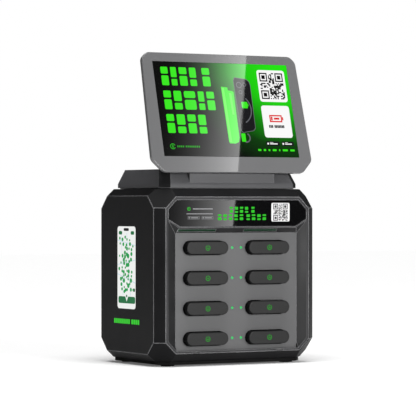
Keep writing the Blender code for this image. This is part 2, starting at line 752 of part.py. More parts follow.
def make_rear():
    thick = DOOR_THICK
    panel = piece("rear_panel", prism(face_outline(FRAME_INSET), "y", BACK - thick, BACK), "black_abs")
    cut(panel, box((-DOOR_HALF - DOOR_GAP, BACK - 0.01, DOOR_BOTTOM - DOOR_GAP),
                   (DOOR_HALF + DOOR_GAP, BACK + 0.01, DOOR_TOP + DOOR_GAP)))
    holes = []
    for (x, z), (w, h) in ((INLET, INLET_SIZE), (SWITCH, SWITCH_SIZE)):
        w, h = w / 2 + GAP, h / 2 + GAP
        holes.append(box((x - w, BACK - 0.01, z - h), (x + w, BACK + 0.01, z + h)))
    low, high = VENT_SPAN
    for i in range(VENT_COUNT):
        x = VENT_START + i * VENT_PITCH
        holes.append(box((x, BACK - 0.01, low), (x + VENT_WIDTH, BACK + 0.01, high)))
    y = BACK - thick / 2
    socket = circle((-DOOR_HALF + thick / 2, y), HINGE_STUD + GAP, 10)
    for z in (DOOR_BOTTOM, DOOR_TOP):
        holes.append(prism(socket, "z", z - 0.004, z + 0.004))
    cut(panel, merged(holes))
    make_door(y)
    make_inlet_and_switch()


def make_door(y):
    hinge_x = -DOOR_HALF + DOOR_THICK / 2
    half = DOOR_THICK / 2
    width = 2 * DOOR_HALF - half
    profile = [(0, -half), (width, -half), (width, half)] + arc((0, 0), half, 90, 270, 6)[:-1]
    low, high = DOOR_BOTTOM, DOOR_TOP
    door = piece("service_door", prism(profile, "z", low, high), "dark_abs", (hinge_x, y, 0))
    join(door, prism(circle((0, 0), HINGE_STUD, 10), "z", low - 0.003, high + 0.003))
    lock_z = (low + high) / 2
    bore = prism(circle((LOCK_X - hinge_x, lock_z), LOCK_RADIUS + GAP), "y", -0.01, 0.01)
    cut(door, bore)
    place_at = (LOCK_X, BACK, lock_z)
    lock = piece("lock_barrel", prism(circle((0, 0), LOCK_RADIUS), "y", -LOCK_LENGTH, 0), "steel", place_at)
    cut(lock, box((-0.0007, -0.003, -0.0045), (0.0007, 0.001, 0.0045)))
    inner = -LOCK_LENGTH - GAP
    cam = box((-CAM_HALF, inner - CAM_THICK, -CAM_HALF), (CAM_HALF, inner, CAM_REACH))
    piece("lock_cam", cam, "steel", place_at)


def make_inlet_and_switch():
    (x, z), (w, h) = INLET, INLET_SIZE
    body = box((-w / 2, -INLET_DEPTH, -h / 2), (w / 2, -0.0002, h / 2))
    inlet = piece("power_inlet", body, "black_abs", (x, BACK, z))
    half, low, high = 0.0115, 0.0072, 0.0035
    socket = [(-half, -low), (half, -low), (half, high), (0.0078, low), (-0.0078, low), (-half, high)]
    cut(inlet, prism(socket, "y", -SOCKET_DEPTH, 0.002))
    (x, z), (w, h) = SWITCH, SWITCH_SIZE
    reach = h / 2 - 0.0010
    profile = [(-0.005, -0.005), (0.0018, -reach), (0.0030, 0), (0.0018, reach), (-0.005, 0.005)]
    body = prism(profile, "x", -w / 2 + GAP, w / 2 - GAP)
    rocker = piece("rocker_switch", body, "black_abs", (x, BACK - 0.0045, z))
    rocker.rotation_euler = (SWITCH_TILT, 0, 0)


def main():
    clear_scene()
    make_housing()
    make_base()
    make_front()
    make_slot_panel()
    make_banks()
    make_cassettes()
    make_latches()
    make_insides()
    make_plinth()
    make_display()
    make_rear()


main()
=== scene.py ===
import json
import math
from functools import partial

import bmesh
import bpy
from mathutils import Matrix, Vector


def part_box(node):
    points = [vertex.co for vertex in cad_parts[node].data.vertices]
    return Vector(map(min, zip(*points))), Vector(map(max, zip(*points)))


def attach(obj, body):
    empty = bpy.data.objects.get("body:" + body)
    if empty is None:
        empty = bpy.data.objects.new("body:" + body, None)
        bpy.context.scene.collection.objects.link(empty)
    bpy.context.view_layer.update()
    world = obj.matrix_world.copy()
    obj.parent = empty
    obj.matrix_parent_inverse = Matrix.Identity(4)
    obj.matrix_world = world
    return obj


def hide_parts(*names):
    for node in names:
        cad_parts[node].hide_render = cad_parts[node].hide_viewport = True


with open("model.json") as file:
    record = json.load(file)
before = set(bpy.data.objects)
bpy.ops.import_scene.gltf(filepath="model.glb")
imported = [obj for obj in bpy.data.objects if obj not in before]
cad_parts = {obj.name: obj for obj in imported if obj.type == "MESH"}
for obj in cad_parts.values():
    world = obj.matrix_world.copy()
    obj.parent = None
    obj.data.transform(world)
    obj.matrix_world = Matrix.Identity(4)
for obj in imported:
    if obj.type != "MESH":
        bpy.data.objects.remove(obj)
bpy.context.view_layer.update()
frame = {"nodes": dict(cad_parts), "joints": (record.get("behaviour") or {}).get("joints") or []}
nodes = frame["nodes"]
scene = bpy.context.scene
print("frame loaded:", len(nodes), "nodes")

# places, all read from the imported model; graphics below are in millimetres on these planes
mm = 0.001
rimInset = 0.0016
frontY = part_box("front_frame")[0].y
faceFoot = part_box("front_frame")[0].z - rimInset
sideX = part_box("side_panel_left")[0].x
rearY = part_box("rear_panel")[1].y
tiltJoint = next(j for j in frame["joints"] if j["name"] == "display_tilt")
hinge = Vector(tiltJoint["pos_m"])
hingeUp, hingeBack, restTilt = 0.0120, 0.0205, math.radians(15)
displayPlane = (Matrix.Translation(hinge) @ Matrix.Rotation(-restTilt, 4, "X")
                @ Matrix.Translation((0, -hingeBack, -hingeUp)))
headerPlane = Matrix.Translation((0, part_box("header_panel")[0].y, faceFoot))
sidePlane = Matrix.Translation((sideX, frontY, faceFoot)) @ Matrix(
    ((0, 1, 0, 0), (-1, 0, 0, 0), (0, 0, 1, 0), (0, 0, 0, 1)))
rearPlane = Matrix.Translation((0, rearY, faceFoot)) @ Matrix.Rotation(math.pi, 4, "Z")
upright = Matrix.Rotation(math.pi / 2, 4, "X")


def placed(name, data):
    thing = bpy.data.objects.new(name, data)
    scene.collection.objects.link(thing)
    return thing


def toLinear(hexColour):
    channels = [int(hexColour[i:i + 2], 16) / 255 for i in (1, 3, 5)]
    return (*[c / 12.92 if c <= 0.04045 else ((c + 0.055) / 1.055) ** 2.4 for c in channels], 1)


def wire(tree, node, links):
    # a link is a number, a colour, a socket, or a node, which stands for its first output
    for key, value in links.items() if isinstance(links, dict) else enumerate(links):
        if isinstance(value, bpy.types.Node):
            value = value.outputs[0]
        if isinstance(value, bpy.types.NodeSocket):
            tree.links.new(value, node.inputs[key])
        else:
            node.inputs[key].default_value = value
    return node


def addNode(tree, kind, links=(), **settings):
    # kind is a type of node, or a maths operation by its name in capitals
    if kind.isupper():
        kind, settings = "ShaderNodeMath", {"operation": kind, **settings}
    node = tree.nodes.new(kind)
    for key, value in settings.items():
        setattr(node, key, value)
    return wire(tree, node, links)


# materials

def newFinish(name, colour, roughness, **sockets):
    finish = bpy.data.materials.new(name)
    finish.use_nodes = True
    finish.diffuse_color = toLinear(colour)
    tree, shader = finish.node_tree, finish.node_tree.nodes["Principled BSDF"]
    named = {key.replace("_", " "): value for key, value in sockets.items()}
    wire(tree, shader, {"Base Color": toLinear(colour), "Roughness": roughness, **named})
    return finish, tree, shader


def texturedFinish(name, colour, roughness, grain, depth, tone=0.25, wearAndHighlight=None, stretch=(1, 1, 1),
                   **sockets):
    # grain is the real size of one bump in metres, tone how much the colour drifts over a few centimetres,
    # and the edge colour is laid along the edges: partly handling wear, partly a painted highlight where
    # light would catch them
    finish, tree, shader = newFinish(name, colour, roughness, **sockets)
    add = partial(addNode, tree)
    place = add("ShaderNodeTexCoord").outputs["Object"]
    spread = add("ShaderNodeMapping", {"Vector": place, "Scale": stretch})
    fine = add("ShaderNodeTexNoise", {"Vector": spread, "Scale": 1 / grain, "Detail": 3.0})
    broad = add("ShaderNodeTexNoise", {"Vector": place, "Scale": 28.0, "Detail": 4.0})
    base = toLinear(colour)
    darker = (*[c * (1 - tone) for c in base[:3]], 1)
    lighter = (*[min(1, c * (1 + tone)) for c in base[:3]], 1)
    tint = add("ShaderNodeMix", {0: broad, 6: darker, 7: lighter}, data_type="RGBA").outputs[2]
    if wearAndHighlight:
        # painted highlight and wear: the edge colour is mixed in where the bevelled normal turns away from
        # the face's own
        edge = add("ShaderNodeBevel", {"Radius": 0.0007}, samples=6)
        flat = add("ShaderNodeNewGeometry").outputs["Normal"]
        same = add("ShaderNodeVectorMath", (edge, flat), operation="DOT_PRODUCT").outputs["Value"]
        wearAndHighlightMask = add("ShaderNodeMapRange", (same, 0.94, 0.998, 1.0, 0.0))
        patchy = add("MULTIPLY_ADD", (broad, 0.9, 0.35))
        patchy = add("MULTIPLY", (wearAndHighlightMask, patchy), use_clamp=True)
        tint = add("ShaderNodeMix", {0: patchy, 6: tint, 7: toLinear(wearAndHighlight)}, data_type="RGBA").outputs[2]
    gloss = add("ShaderNodeMapRange", (broad, 0.3, 0.7, roughness * 0.88, min(1, roughness * 1.12)))
    bump = add("ShaderNodeBump", {"Height": fine, "Strength": 0.5, "Distance": depth})
    wire(tree, shader, {"Base Color": tint, "Roughness": gloss, "Normal": bump})
    return finish


# spark-eroded ABS, moulded: satin black, its edges painted grey, partly handling wear and partly painted
# highlight
housingAbs = texturedFinish("AbsBlackSparkMoulded", "#171718", 0.42, 0.0007, 0.00006, wearAndHighlight="#a8a8aa",
                            IOR=1.53, Specular_IOR_Level=0.05)
# ABS, moulded and left satin: dark grey of the front frame, its edges painted paler, partly wear and partly
# painted highlight
frameAbs = texturedFinish("AbsGraphiteMoulded", "#1a1a1b", 0.48, 0.0006, 0.00004, 0.12, wearAndHighlight="#a2a2a4",
                          IOR=1.53, Specular_IOR_Level=0.20)
# the same ABS on its foremost rim, a paler copy standing for the light on the front: painted highlight; its
# edges painted paler too, partly wear
rimHighlightAbs = texturedFinish("AbsGraphiteRimHighlight", "#232325", 0.40, 0.0006, 0.00003, 0.12, wearAndHighlight="#a2a2a4", IOR=1.53,
                        Specular_IOR_Level=0.25)
# ABS, moulded: grey plinth, its edges painted paler, partly wear and partly painted highlight
plinthAbs = texturedFinish("AbsGreyMoulded", "#4a4a4c", 0.38, 0.0006, 0.00004, 0.10, wearAndHighlight="#707072", IOR=1.53,
                           Specular_IOR_Level=0.26)
# painted ABS, sprayed with a fine orange peel: mid grey behind the slots, its edges painted paler, partly
# wear and partly painted highlight
panelPaint = texturedFinish("PaintGreySprayed", "#4b4b4c", 0.42, 0.0012, 0.00003, 0.06, wearAndHighlight="#6a6a6c",
                            IOR=1.5)
# soft-touch lacquer over ABS: dull dark grey, its edges painted paler, partly wear and partly painted
# highlight
bankLacquer = texturedFinish("LacquerSoftTouchSprayed", "#181818", 0.44, 0.0005, 0.00003, 0.12,
                             wearAndHighlight="#525253", IOR=1.5, Specular_IOR_Level=0.25)
# ABS, moulded: the black body that each power bank's lacquered face sits on, kept darker than the face
# partly as painted shade for the sides in the slots; its edges get a faint painted highlight
bankBodyAndShadeAbs = texturedFinish("AbsBlackBankBodyAndShade", "#09090a", 0.50, 0.0006, 0.00004, 0.15, wearAndHighlight="#2a2a2b",
                         IOR=1.53, Specular_IOR_Level=0.12)
# back-printed acrylic, cast and polished: deep black with hard reflections, and a painted highlight along
# its edges
headerAcrylic = texturedFinish("AcrylicBlackPolished", "#050506", 0.02, 0.02, 0.000002, 0.3, wearAndHighlight="#a2a2a4",
                               IOR=1.49)
# back-painted glass border, polished: grey under a hard clear face
bezelGlass = texturedFinish("GlassGreyBackPainted", "#626263", 0.015, 0.02, 0.000004, 0.04, IOR=1.52)
# ABS, moulded: black display shell, its edges painted paler, partly wear and partly painted highlight
shellAbs = texturedFinish("AbsBlackDisplayMoulded", "#18181a", 0.40, 0.0007, 0.00006, wearAndHighlight="#5a5a5c",
                          IOR=1.53)
# nitrile rubber, pressed: dead black with dust in its pores
footRubber = texturedFinish("RubberBlackPressed", "#080808", 0.85, 0.0009, 0.00010, 0.35, IOR=1.52,
                            Specular_IOR_Level=0.2)
# cold-rolled steel, brushed along X: long fine scratches that stretch highlights
brushedSteel = texturedFinish("SteelBrushed", "#9a9a9c", 0.32, 0.0009, 0.00003, 0.10, stretch=(0.04, 1, 1),
                              Metallic=1.0)
# electro-galvanised steel, pressed: duller and mottled
zincSteel = texturedFinish("SteelZincPressed", "#86888b", 0.45, 0.0030, 0.00002, 0.18, Metallic=1.0)
# glass-epoxy laminate under solder mask: green with the weave just showing
solderMask = texturedFinish("LaminateSolderMask", "#0e5a30", 0.35, 0.0010, 0.00003, 0.25, IOR=1.5)
chipEpoxy = texturedFinish("EpoxyBlackMoulded", "#1a1a1c", 0.55, 0.0005, 0.00003, 0.2, IOR=1.5)
# polyamide, moulded undyed: milky and waxy
naturalNylon = texturedFinish("NylonNaturalMoulded", "#cfcbbd", 0.48, 0.0006, 0.00003, 0.08, IOR=1.53)
cassetteAbs = texturedFinish("AbsBlackTrayMoulded", "#0a0a0b", 0.55, 0.0008, 0.00005, 0.3, IOR=1.53,
                             Specular_IOR_Level=0.15)
# tinned brass contacts, stamped
contactBrass = texturedFinish("BrassTinnedStamped", "#b9b4a4", 0.28, 0.0012, 0.00002, 0.12, Metallic=1.0)
# polycarbonate light pipe, moulded clear and lit from behind
litPipe = texturedFinish("PolycarbonateLitGreen", "#0c6a34", 0.30, 0.0020, 0.00002, 0.15, IOR=1.58,
                         Emission_Color=toLinear("#10d060"), Emission_Strength=0.55)
# polycarbonate diffuser, moulded green: dark while its lamps idle
idleDiffuser = texturedFinish("PolycarbonateDiffuserGreen", "#06140c", 0.25, 0.0020, 0.00002, 0.30, IOR=1.58,
                              Emission_Color=toLinear("#08351c"), Emission_Strength=0.6)


def inkFinish(name, colour, glow=0.0, roughness=0.30):
    # screen-printed or lit colour: a flat film with a slight unevenness; a lit one is near black when off
    body = "#060606" if glow else colour
    sheen = 0.5 if roughness < 0.1 else 0.12
    return texturedFinish(name, body, roughness, 0.0016, 0.000004, 0.03, IOR=1.5, Specular_IOR_Level=sheen,
                          Emission_Color=toLinear(colour), Emission_Strength=glow)


inkGreen = inkFinish("InkGreenScreenPrinted", "#20a018")
inkWhite = inkFinish("InkWhiteScreenPrinted", "#828284")
inkCard = inkFinish("InkPaleScreenPrinted", "#d2d2d2")
inkBlack = inkFinish("InkBlackScreenPrinted", "#0a0a0b")
inkLine = inkFinish("InkGreyScreenPrinted", "#8a8a8c")
inkBankGreen = inkFinish("InkGreenPadPrinted", "#1c7d1c")
posterWhite = inkFinish("FilmWhiteBacklit", "#f4f6f4", 0.92)
posterGreen = inkFinish("FilmGreenBacklit", "#129a4a", 0.95)
posterCard = inkFinish("FilmDarkGreenBacklit", "#0b6b3a", 0.95)
posterPale = inkFinish("FilmPaleGreenBacklit", "#d2e6f0", 0.90)
posterBlack = inkFinish("FilmBlackBacklit", "#0a0a0b")
sideGreen = inkFinish("InkGreenSideBacklit", "#26cf1c", 0.95)
litGreen = inkFinish("DisplayGreenLit", "#39ee1c", 0.95, 0.015)
litDeepGreen = inkFinish("DisplayDeepGreenLit", "#27b81c", 0.95, 0.015)
litLime = inkFinish("DisplayLimeLit", "#6bf752", 0.95, 0.015)
litWhite = inkFinish("DisplayWhiteLit", "#ffffff", 0.95, 0.015)
unlitBlack = inkFinish("DisplayBlackUnlit", "#030303", 0.0, 0.015)
litGrey = inkFinish("DisplayGreyLit", "#74767c", 0.7, 0.015)
litDark = inkFinish("DisplayDarkLit", "#1c1c20", 0.6, 0.015)
litRed = inkFinish("DisplayRedLit", "#e8201e", 0.9, 0.015)


def screenFinish():
    # liquid crystal cell behind polished glass: near black on the left, green from the top right corner
    finish, tree, shader = newFinish("GlassScreenLit", "#040404", 0.015, IOR=1.52)
    add = partial(addNode, tree)
    place = add("ShaderNodeTexCoord").outputs["Object"]
    corner = displayPlane @ Vector((0.092, 0, 0.158))
    away = add("ShaderNodeVectorMath", (place, corner), operation="DISTANCE").outputs["Value"]
    haze = add("ShaderNodeTexNoise", {"Vector": place, "Scale": 14.0, "Detail": 2.0})
    drift = add("MULTIPLY_ADD", (haze, 0.030, away))
    ramp = add("ShaderNodeValToRGB", (add("ShaderNodeMapRange", (drift, 0.03, 0.17)),))
    stops = ramp.color_ramp.elements
    stops[0].position, stops[0].color = 0.0, toLinear("#22e80a")
    stops[1].position, stops[1].color = 1.0, toLinear("#020302")
    for position, colour in ((0.30, "#1cd208"), (0.52, "#0f8a06"), (0.74, "#063c04")):
        stops.new(position).color = toLinear(colour)
    wave = add("ShaderNodeTexNoise", {"Vector": place, "Scale": 40.0})
    bump = add("ShaderNodeBump", {"Height": wave, "Strength": 0.3, "Distance": 0.000004})
    wire(tree, shader, {"Emission Color": ramp, "Emission Strength": 0.95, "Normal": bump})
    return finish


screenGlass = screenFinish()
print("materials ready")


# mesh helpers

def enter(name, mesh, body, finish=None, replaced=(), smooth=38):
    if finish:
        mesh.materials.clear()
        mesh.materials.append(finish)
    if smooth:
        mesh.shade_smooth()
        mesh.set_sharp_from_angle(angle=math.radians(smooth))
        mesh = settled(mesh, ("WEIGHTED_NORMAL", {"keep_sharp": True, "weight": 100}))
    piece = placed(name, mesh)
    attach(piece, body)
    if replaced:
        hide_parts(*replaced)
    return piece


def meshOf(bm, name="shape"):
    bmesh.ops.recalc_face_normals(bm, faces=bm.faces[:])
    mesh = bpy.data.meshes.new(name)
    bm.to_mesh(mesh)
    bm.free()
    return mesh


def plainMesh(host):
    graph = bpy.context.evaluated_depsgraph_get()
    made = bpy.data.meshes.new_from_object(host.evaluated_get(graph))
    bpy.data.objects.remove(host)
    return made


def settled(mesh, *modifiers):
    # runs modifiers, given as (kind, settings), and returns the plain mesh
    host = placed("host", mesh)
    for kind, settings in modifiers:
        modifier = host.modifiers.new(kind.lower(), kind)
        for key, value in settings.items():
            setattr(modifier, key, value)
    return plainMesh(host)


def bevelled(width, segments=3, angle=30):
    return ("BEVEL", {"width": width, "segments": segments, "limit_method": "ANGLE",
                      "angle_limit": math.radians(angle), "use_clamp_overlap": True,
                      "miter_outer": "MITER_ARC"})


def carved(mesh, cutter):
    tool = placed("tool", cutter)
    made = settled(mesh, ("BOOLEAN", {"operation": "DIFFERENCE", "solver": "MANIFOLD", "object": tool}))
    bpy.data.objects.remove(tool)
    return made


def loft(rings, bm=None):
    bm = bm or bmesh.new()
    loops = [[bm.verts.new(p) for p in ring] for ring in rings]
    for low, high in zip(loops, loops[1:]):
        for i in range(len(low)):
            j = (i + 1) % len(low)
            bm.faces.new((low[i], low[j], high[j], high[i]))
    bm.faces.new(reversed(loops[0]))
    bm.faces.new(loops[-1])
    return bm


def block(x0, y0, z0, x1, y1, z1, bm=None):
    ring = ((x0, y0), (x1, y0), (x1, y1), (x0, y1))
    return loft([[(x, y, z) for x, y in ring] for z in (z0, z1)], bm)


def cleanCopy(node):
    bm = bmesh.new()
    bm.from_mesh(nodes[node].data)
    bmesh.ops.remove_doubles(bm, verts=bm.verts[:], dist=2e-6)
    bmesh.ops.dissolve_limit(bm, angle_limit=math.radians(0.5), verts=bm.verts[:], edges=bm.edges[:])
    mesh = bpy.data.meshes.new(node)
    bm.to_mesh(mesh)
    bm.free()
    mesh.materials.clear()
    return mesh


# geometry nodes

def newTree(name, **inputs):
    # a tree with named inputs: whole numbers, measures in metres and turns, each with its first value
    tree = bpy.data.node_groups.new(name, "GeometryNodeTree")
    tree.interface.new_socket("Geometry", in_out="INPUT", socket_type="NodeSocketGeometry")
    for label, value in inputs.items():
        kind = {int: "Int", float: "Float", tuple: "Vector"}[type(value)]
        socket = tree.interface.new_socket(label, in_out="INPUT", socket_type="NodeSocket" + kind)
        socket.default_value = value
    tree.interface.new_socket("Finish", in_out="INPUT", socket_type="NodeSocketMaterial")
    tree.interface.new_socket("Geometry", in_out="OUTPUT", socket_type="NodeSocketGeometry")
    return tree, partial(addNode, tree), addNode(tree, "NodeGroupInput").outputs


def endTree(tree, given, geometry):
    whole = addNode(tree, "GeometryNodeRealizeInstances", (geometry,))
    coloured = addNode(tree, "GeometryNodeSetMaterial", {"Geometry": whole, "Material": given["Finish"]})
    addNode(tree, "NodeGroupOutput", (coloured,))
    return tree


def grown(tree, finish, points=(), **values):
    # runs a tree on a mesh of loose points and returns the plain mesh
    mesh = bpy.data.meshes.new("points")
    mesh.from_pydata([tuple(p) for p in points], [], [])
    host = placed("host", mesh)
    modifier = host.modifiers.new("grow", "NODES")
    modifier.node_group = tree
    values["Finish"] = finish
    for item in tree.interface.items_tree:
        if item.in_out == "INPUT" and item.name in values:
            modifier[item.identifier] = values[item.name]
    return plainMesh(host)


def bankTree():
    # a stadium drawn out along Y, its two ends rounded, with a notch in each side for the latch
    tree, add, given = newTree("bankShell", Width=0.066, Height=0.018, Length=0.133, Edge=0.0016, Steps=5,
                               Sides=48, NotchBack=0.065, NotchSize=0.0072, NotchDepth=0.0044)
    rows = add("MULTIPLY_ADD", (given["Steps"], 2.0, 1.0))
    tube = add("GeometryNodeMeshCylinder", {"Vertices": given["Sides"], "Side Segments": rows,
                                            "Radius": 1.0, "Depth": 1.0})
    spot = add("ShaderNodeSeparateXYZ", (add("GeometryNodeInputPosition"),))
    along = add("ADD", (spot.outputs[2], 0.5))
    level = add("MULTIPLY", (along, rows))
    fromEnd = add("SUBTRACT", (rows, level))
    nearest = add("MINIMUM", (level, fromEnd))
    turn = add("MULTIPLY", (add("DIVIDE", (nearest, given["Steps"])), math.pi / 2))
    inset = add("MULTIPLY", (given["Edge"], add("SUBTRACT", (1.0, add("SINE", (turn,))))))
    sink = add("MULTIPLY", (given["Edge"], add("SUBTRACT", (1.0, add("COSINE", (turn,))))))
    farSide = add("GREATER_THAN", (along, 0.5))
    farDepth = add("SUBTRACT", (given["Length"], sink))
    depth = add("ShaderNodeMix", {0: farSide, 2: sink, 3: farDepth})
    radius = add("SUBTRACT", (add("DIVIDE", (given["Height"], 2.0)), inset))
    reach = add("DIVIDE", (add("SUBTRACT", (given["Width"], given["Height"])), 2.0))
    clean = add("SNAP", (add("ADD", (spot.outputs[0], 0.0005)), 0.001))
    bulge = add("MULTIPLY", (spot.outputs[0], radius))
    x = add("MULTIPLY_ADD", (add("SIGN", (clean,)), reach, bulge))
    z = add("MULTIPLY", (spot.outputs[1], radius))
    moved = add("ShaderNodeCombineXYZ", (x, depth, z))
    shell = add("GeometryNodeSetPosition", {"Geometry": tube, "Position": moved})
    shell = add("GeometryNodeFlipFaces", {"Mesh": shell})  # the swap of axes turned it inside out
    # two cutters, each twice the notch's depth and centred on the side
    size = add("ShaderNodeCombineXYZ", (add("MULTIPLY", (given["NotchDepth"], 2.0)), given["NotchSize"],
                                        given["NotchSize"]))
    cube = add("GeometryNodeMeshCube", {"Size": size})
    half = add("DIVIDE", (given["Width"], 2.0))
    start = add("ShaderNodeCombineXYZ", (add("MULTIPLY", (half, -1.0)), given["NotchBack"], 0.0))
    step = add("ShaderNodeCombineXYZ", (given["Width"], 0.0, 0.0))
    line = add("GeometryNodeMeshLine", {"Count": 2, "Start Location": start, "Offset": step})
    cutters = add("GeometryNodeInstanceOnPoints", {"Points": line, "Instance": cube})
    cutters = add("GeometryNodeRealizeInstances", (cutters,))
    notched = add("GeometryNodeMeshBoolean", (shell, cutters), operation="DIFFERENCE")
    return endTree(tree, given, notched)


def moduleTree():
    # square code: a grid of cells, some left out at random, with three corners kept clear
    tree, add, given = newTree("codeModules", Size=0.04, Cells=21, Thick=0.0001, Fill=0.5, Clear=8, Seed=3)
    cell = add("DIVIDE", (given["Size"], given["Cells"]))
    span = add("SUBTRACT", (given["Size"], cell))
    grid = add("GeometryNodeMeshGrid", {"Size X": span, "Size Y": span, "Vertices X": given["Cells"],
                                        "Vertices Y": given["Cells"]})
    spot = add("ShaderNodeSeparateXYZ", (add("GeometryNodeInputPosition"),))
    limit = add("MULTIPLY_ADD", (given["Clear"], add("MULTIPLY", (cell, -1.0)),
                                 add("DIVIDE", (given["Size"], 2.0))))
    outX = add("GREATER_THAN", (add("ABSOLUTE", (spot.outputs[0],)), limit))
    outY = add("GREATER_THAN", (add("ABSOLUTE", (spot.outputs[1],)), limit))
    right = add("GREATER_THAN", (spot.outputs[0], 0.0))
    low = add("LESS_THAN", (spot.outputs[1], 0.0))
    freeCorner = add("SUBTRACT", (1.0, add("MULTIPLY", (right, low))))
    finder = add("MULTIPLY", (add("MULTIPLY", (outX, outY)), freeCorner))
    chance = add("FunctionNodeRandomValue", {"Probability": given["Fill"], "Seed": given["Seed"]},
                 data_type="BOOLEAN").outputs[3]
    keep = add("MULTIPLY", (add("SUBTRACT", (1.0, finder)), chance))
    drop = add("LESS_THAN", (keep, 0.5))
    left = add("GeometryNodeDeleteGeometry", {"Geometry": grid, "Selection": drop}, domain="POINT")
    side = add("MULTIPLY", (cell, 0.97))
    size = add("ShaderNodeCombineXYZ", (side, side, given["Thick"]))
    cube = add("GeometryNodeMeshCube", {"Size": size})
    cells = add("GeometryNodeInstanceOnPoints", {"Points": left, "Instance": cube})
    return endTree(tree, given, cells)


def dotTree():
    # discs scattered over a rectangle, no two nearer than the spacing, fewer towards the sides
    tree, add, given = newTree("scatteredDots", Width=0.05, Height=0.1, Spacing=0.005, Density=30000.0,
                               Radius=0.001, Thick=0.0001, Seed=5)
    sheet = add("GeometryNodeMeshGrid", {"Size X": given["Width"], "Size Y": given["Height"],
                                         "Vertices X": 12, "Vertices Y": 12})
    spot = add("ShaderNodeSeparateXYZ", (add("GeometryNodeInputPosition"),))
    aside = add("DIVIDE", (add("ABSOLUTE", (spot.outputs[0],)), given["Width"]))
    thinning = add("SUBTRACT", (1.25, add("MULTIPLY", (aside, 2.2))))
    spots = add("GeometryNodeDistributePointsOnFaces",
                {"Mesh": sheet, "Distance Min": given["Spacing"], "Density Max": given["Density"],
                 "Density Factor": thinning, "Seed": given["Seed"]}, distribute_method="POISSON")
    disc = add("GeometryNodeMeshCylinder", {"Vertices": 12, "Radius": given["Radius"],
                                            "Depth": given["Thick"]})
    grow = add("FunctionNodeRandomValue", {2: 0.55, 3: 1.25, "Seed": given["Seed"]}).outputs[1]
    scale = add("ShaderNodeCombineXYZ", (grow, grow, 1.0))
    dots = add("GeometryNodeInstanceOnPoints", {"Points": spots, "Instance": disc, "Scale": scale})
    return endTree(tree, given, dots)


def pillTree():
    # round-ended bars at given points
    tree, add, given = newTree("pillsAtPoints", Width=0.01, Height=0.002, Thick=0.0001, Roundness=0.98,
                               CornerSteps=6)
    box = add("GeometryNodeCurvePrimitiveQuadrilateral",
              {"Width": given["Width"], "Height": given["Height"]})
    less = add("MINIMUM", (given["Width"], given["Height"]))
    round_ = add("MULTIPLY", (add("MULTIPLY", (less, 0.5)), given["Roundness"]))
    pill = add("GeometryNodeFilletCurve", {"Curve": box, "Radius": round_, "Limit Radius": True,
                                           "Count": given["CornerSteps"]}, mode="POLY")
    face = add("GeometryNodeFillCurve", {"Curve": pill}, mode="NGONS")
    top = add("GeometryNodeExtrudeMesh", {"Mesh": face, "Offset Scale": given["Thick"],
                                          "Individual": False}, mode="FACES")
    back = add("GeometryNodeFlipFaces", {"Mesh": face})
    solid = add("GeometryNodeJoinGeometry")
    for part in (top, back):
        wire(tree, solid, (part,))
    shut = add("GeometryNodeMergeByDistance", {"Geometry": solid, "Distance": 1e-7})
    bars = add("GeometryNodeInstanceOnPoints", {"Points": given["Geometry"], "Instance": shut})
    return endTree(tree, given, bars)


def screwTree():
    # pan-head screws with a six-sided socket, one at each given point, facing the turn
    tree, add, given = newTree("panHeadScrews", Radius=0.0028, Head=0.0012, Socket=0.0013,
                               Turn=(0.0, 0.0, 0.0))
    foot = add("GeometryNodeMeshCylinder", {"Vertices": 20, "Radius": given["Radius"],
                                            "Depth": given["Head"]})
    crown = add("GeometryNodeMeshCone", {"Vertices": 20,
                                         "Radius Top": add("MULTIPLY", (given["Radius"], 0.72)),
                                         "Radius Bottom": given["Radius"],
                                         "Depth": add("MULTIPLY", (given["Head"], 0.45))})
    lift = add("ShaderNodeCombineXYZ", {2: add("MULTIPLY", (given["Head"], 0.49))})
    crown = add("GeometryNodeTransform", {"Geometry": crown, "Translation": lift})
    head = add("GeometryNodeMeshBoolean", operation="UNION")
    for part in (foot, crown):
        wire(tree, head, {1: part})
    hole = add("GeometryNodeMeshCylinder", {"Vertices": 6, "Radius": given["Socket"],
                                            "Depth": add("MULTIPLY", (given["Head"], 1.6))})
    raised = add("ShaderNodeCombineXYZ", {2: given["Head"]})
    socket = add("GeometryNodeTransform", {"Geometry": hole, "Translation": raised})
    screw = add("GeometryNodeMeshBoolean", (head, socket), operation="DIFFERENCE")
    turn = add("FunctionNodeEulerToRotation", (given["Turn"],))
    screws = add("GeometryNodeInstanceOnPoints", {"Points": given["Geometry"], "Instance": screw,
                                                  "Rotation": turn})
    return endTree(tree, given, screws)


def chipTree():
    # small parts of a circuit board: upright boxes of random size on a rectangle
    tree, add, given = newTree("boardParts", Width=0.1, Height=0.09, Spacing=0.010, Tall=0.003, Seed=11)
    sheet = add("GeometryNodeMeshGrid", {"Size X": given["Width"], "Size Y": given["Height"],
                                         "Vertices X": 2, "Vertices Y": 2})
    spots = add("GeometryNodeDistributePointsOnFaces",
                {"Mesh": sheet, "Distance Min": given["Spacing"], "Density Max": 9000.0,
                 "Seed": given["Seed"]}, distribute_method="POISSON")
    wide = add("FunctionNodeRandomValue", {2: 0.3, 3: 0.85, "Seed": given["Seed"]}).outputs[1]
    deep = add("FunctionNodeRandomValue", {2: 0.25, 3: 0.8, "Seed": 21}).outputs[1]
    tall = add("FunctionNodeRandomValue", {2: 0.3, 3: 1.0, "Seed": 22}).outputs[1]
    size = add("ShaderNodeCombineXYZ", (given["Spacing"], given["Spacing"], given["Tall"]))
    cube = add("GeometryNodeMeshCube", {"Size": size})
    scale = add("ShaderNodeCombineXYZ", (wide, deep, tall))
    parts = add("GeometryNodeInstanceOnPoints", {"Points": spots, "Instance": cube, "Scale": scale})
    return endTree(tree, given, parts)


banksGrow, modulesGrow, dotsGrow = bankTree(), moduleTree(), dotTree()
pillsGrow, screwsGrow, chipsGrow = pillTree(), screwTree(), chipTree()
print("node trees ready")

# carried-over pieces: clean copies with eased edges

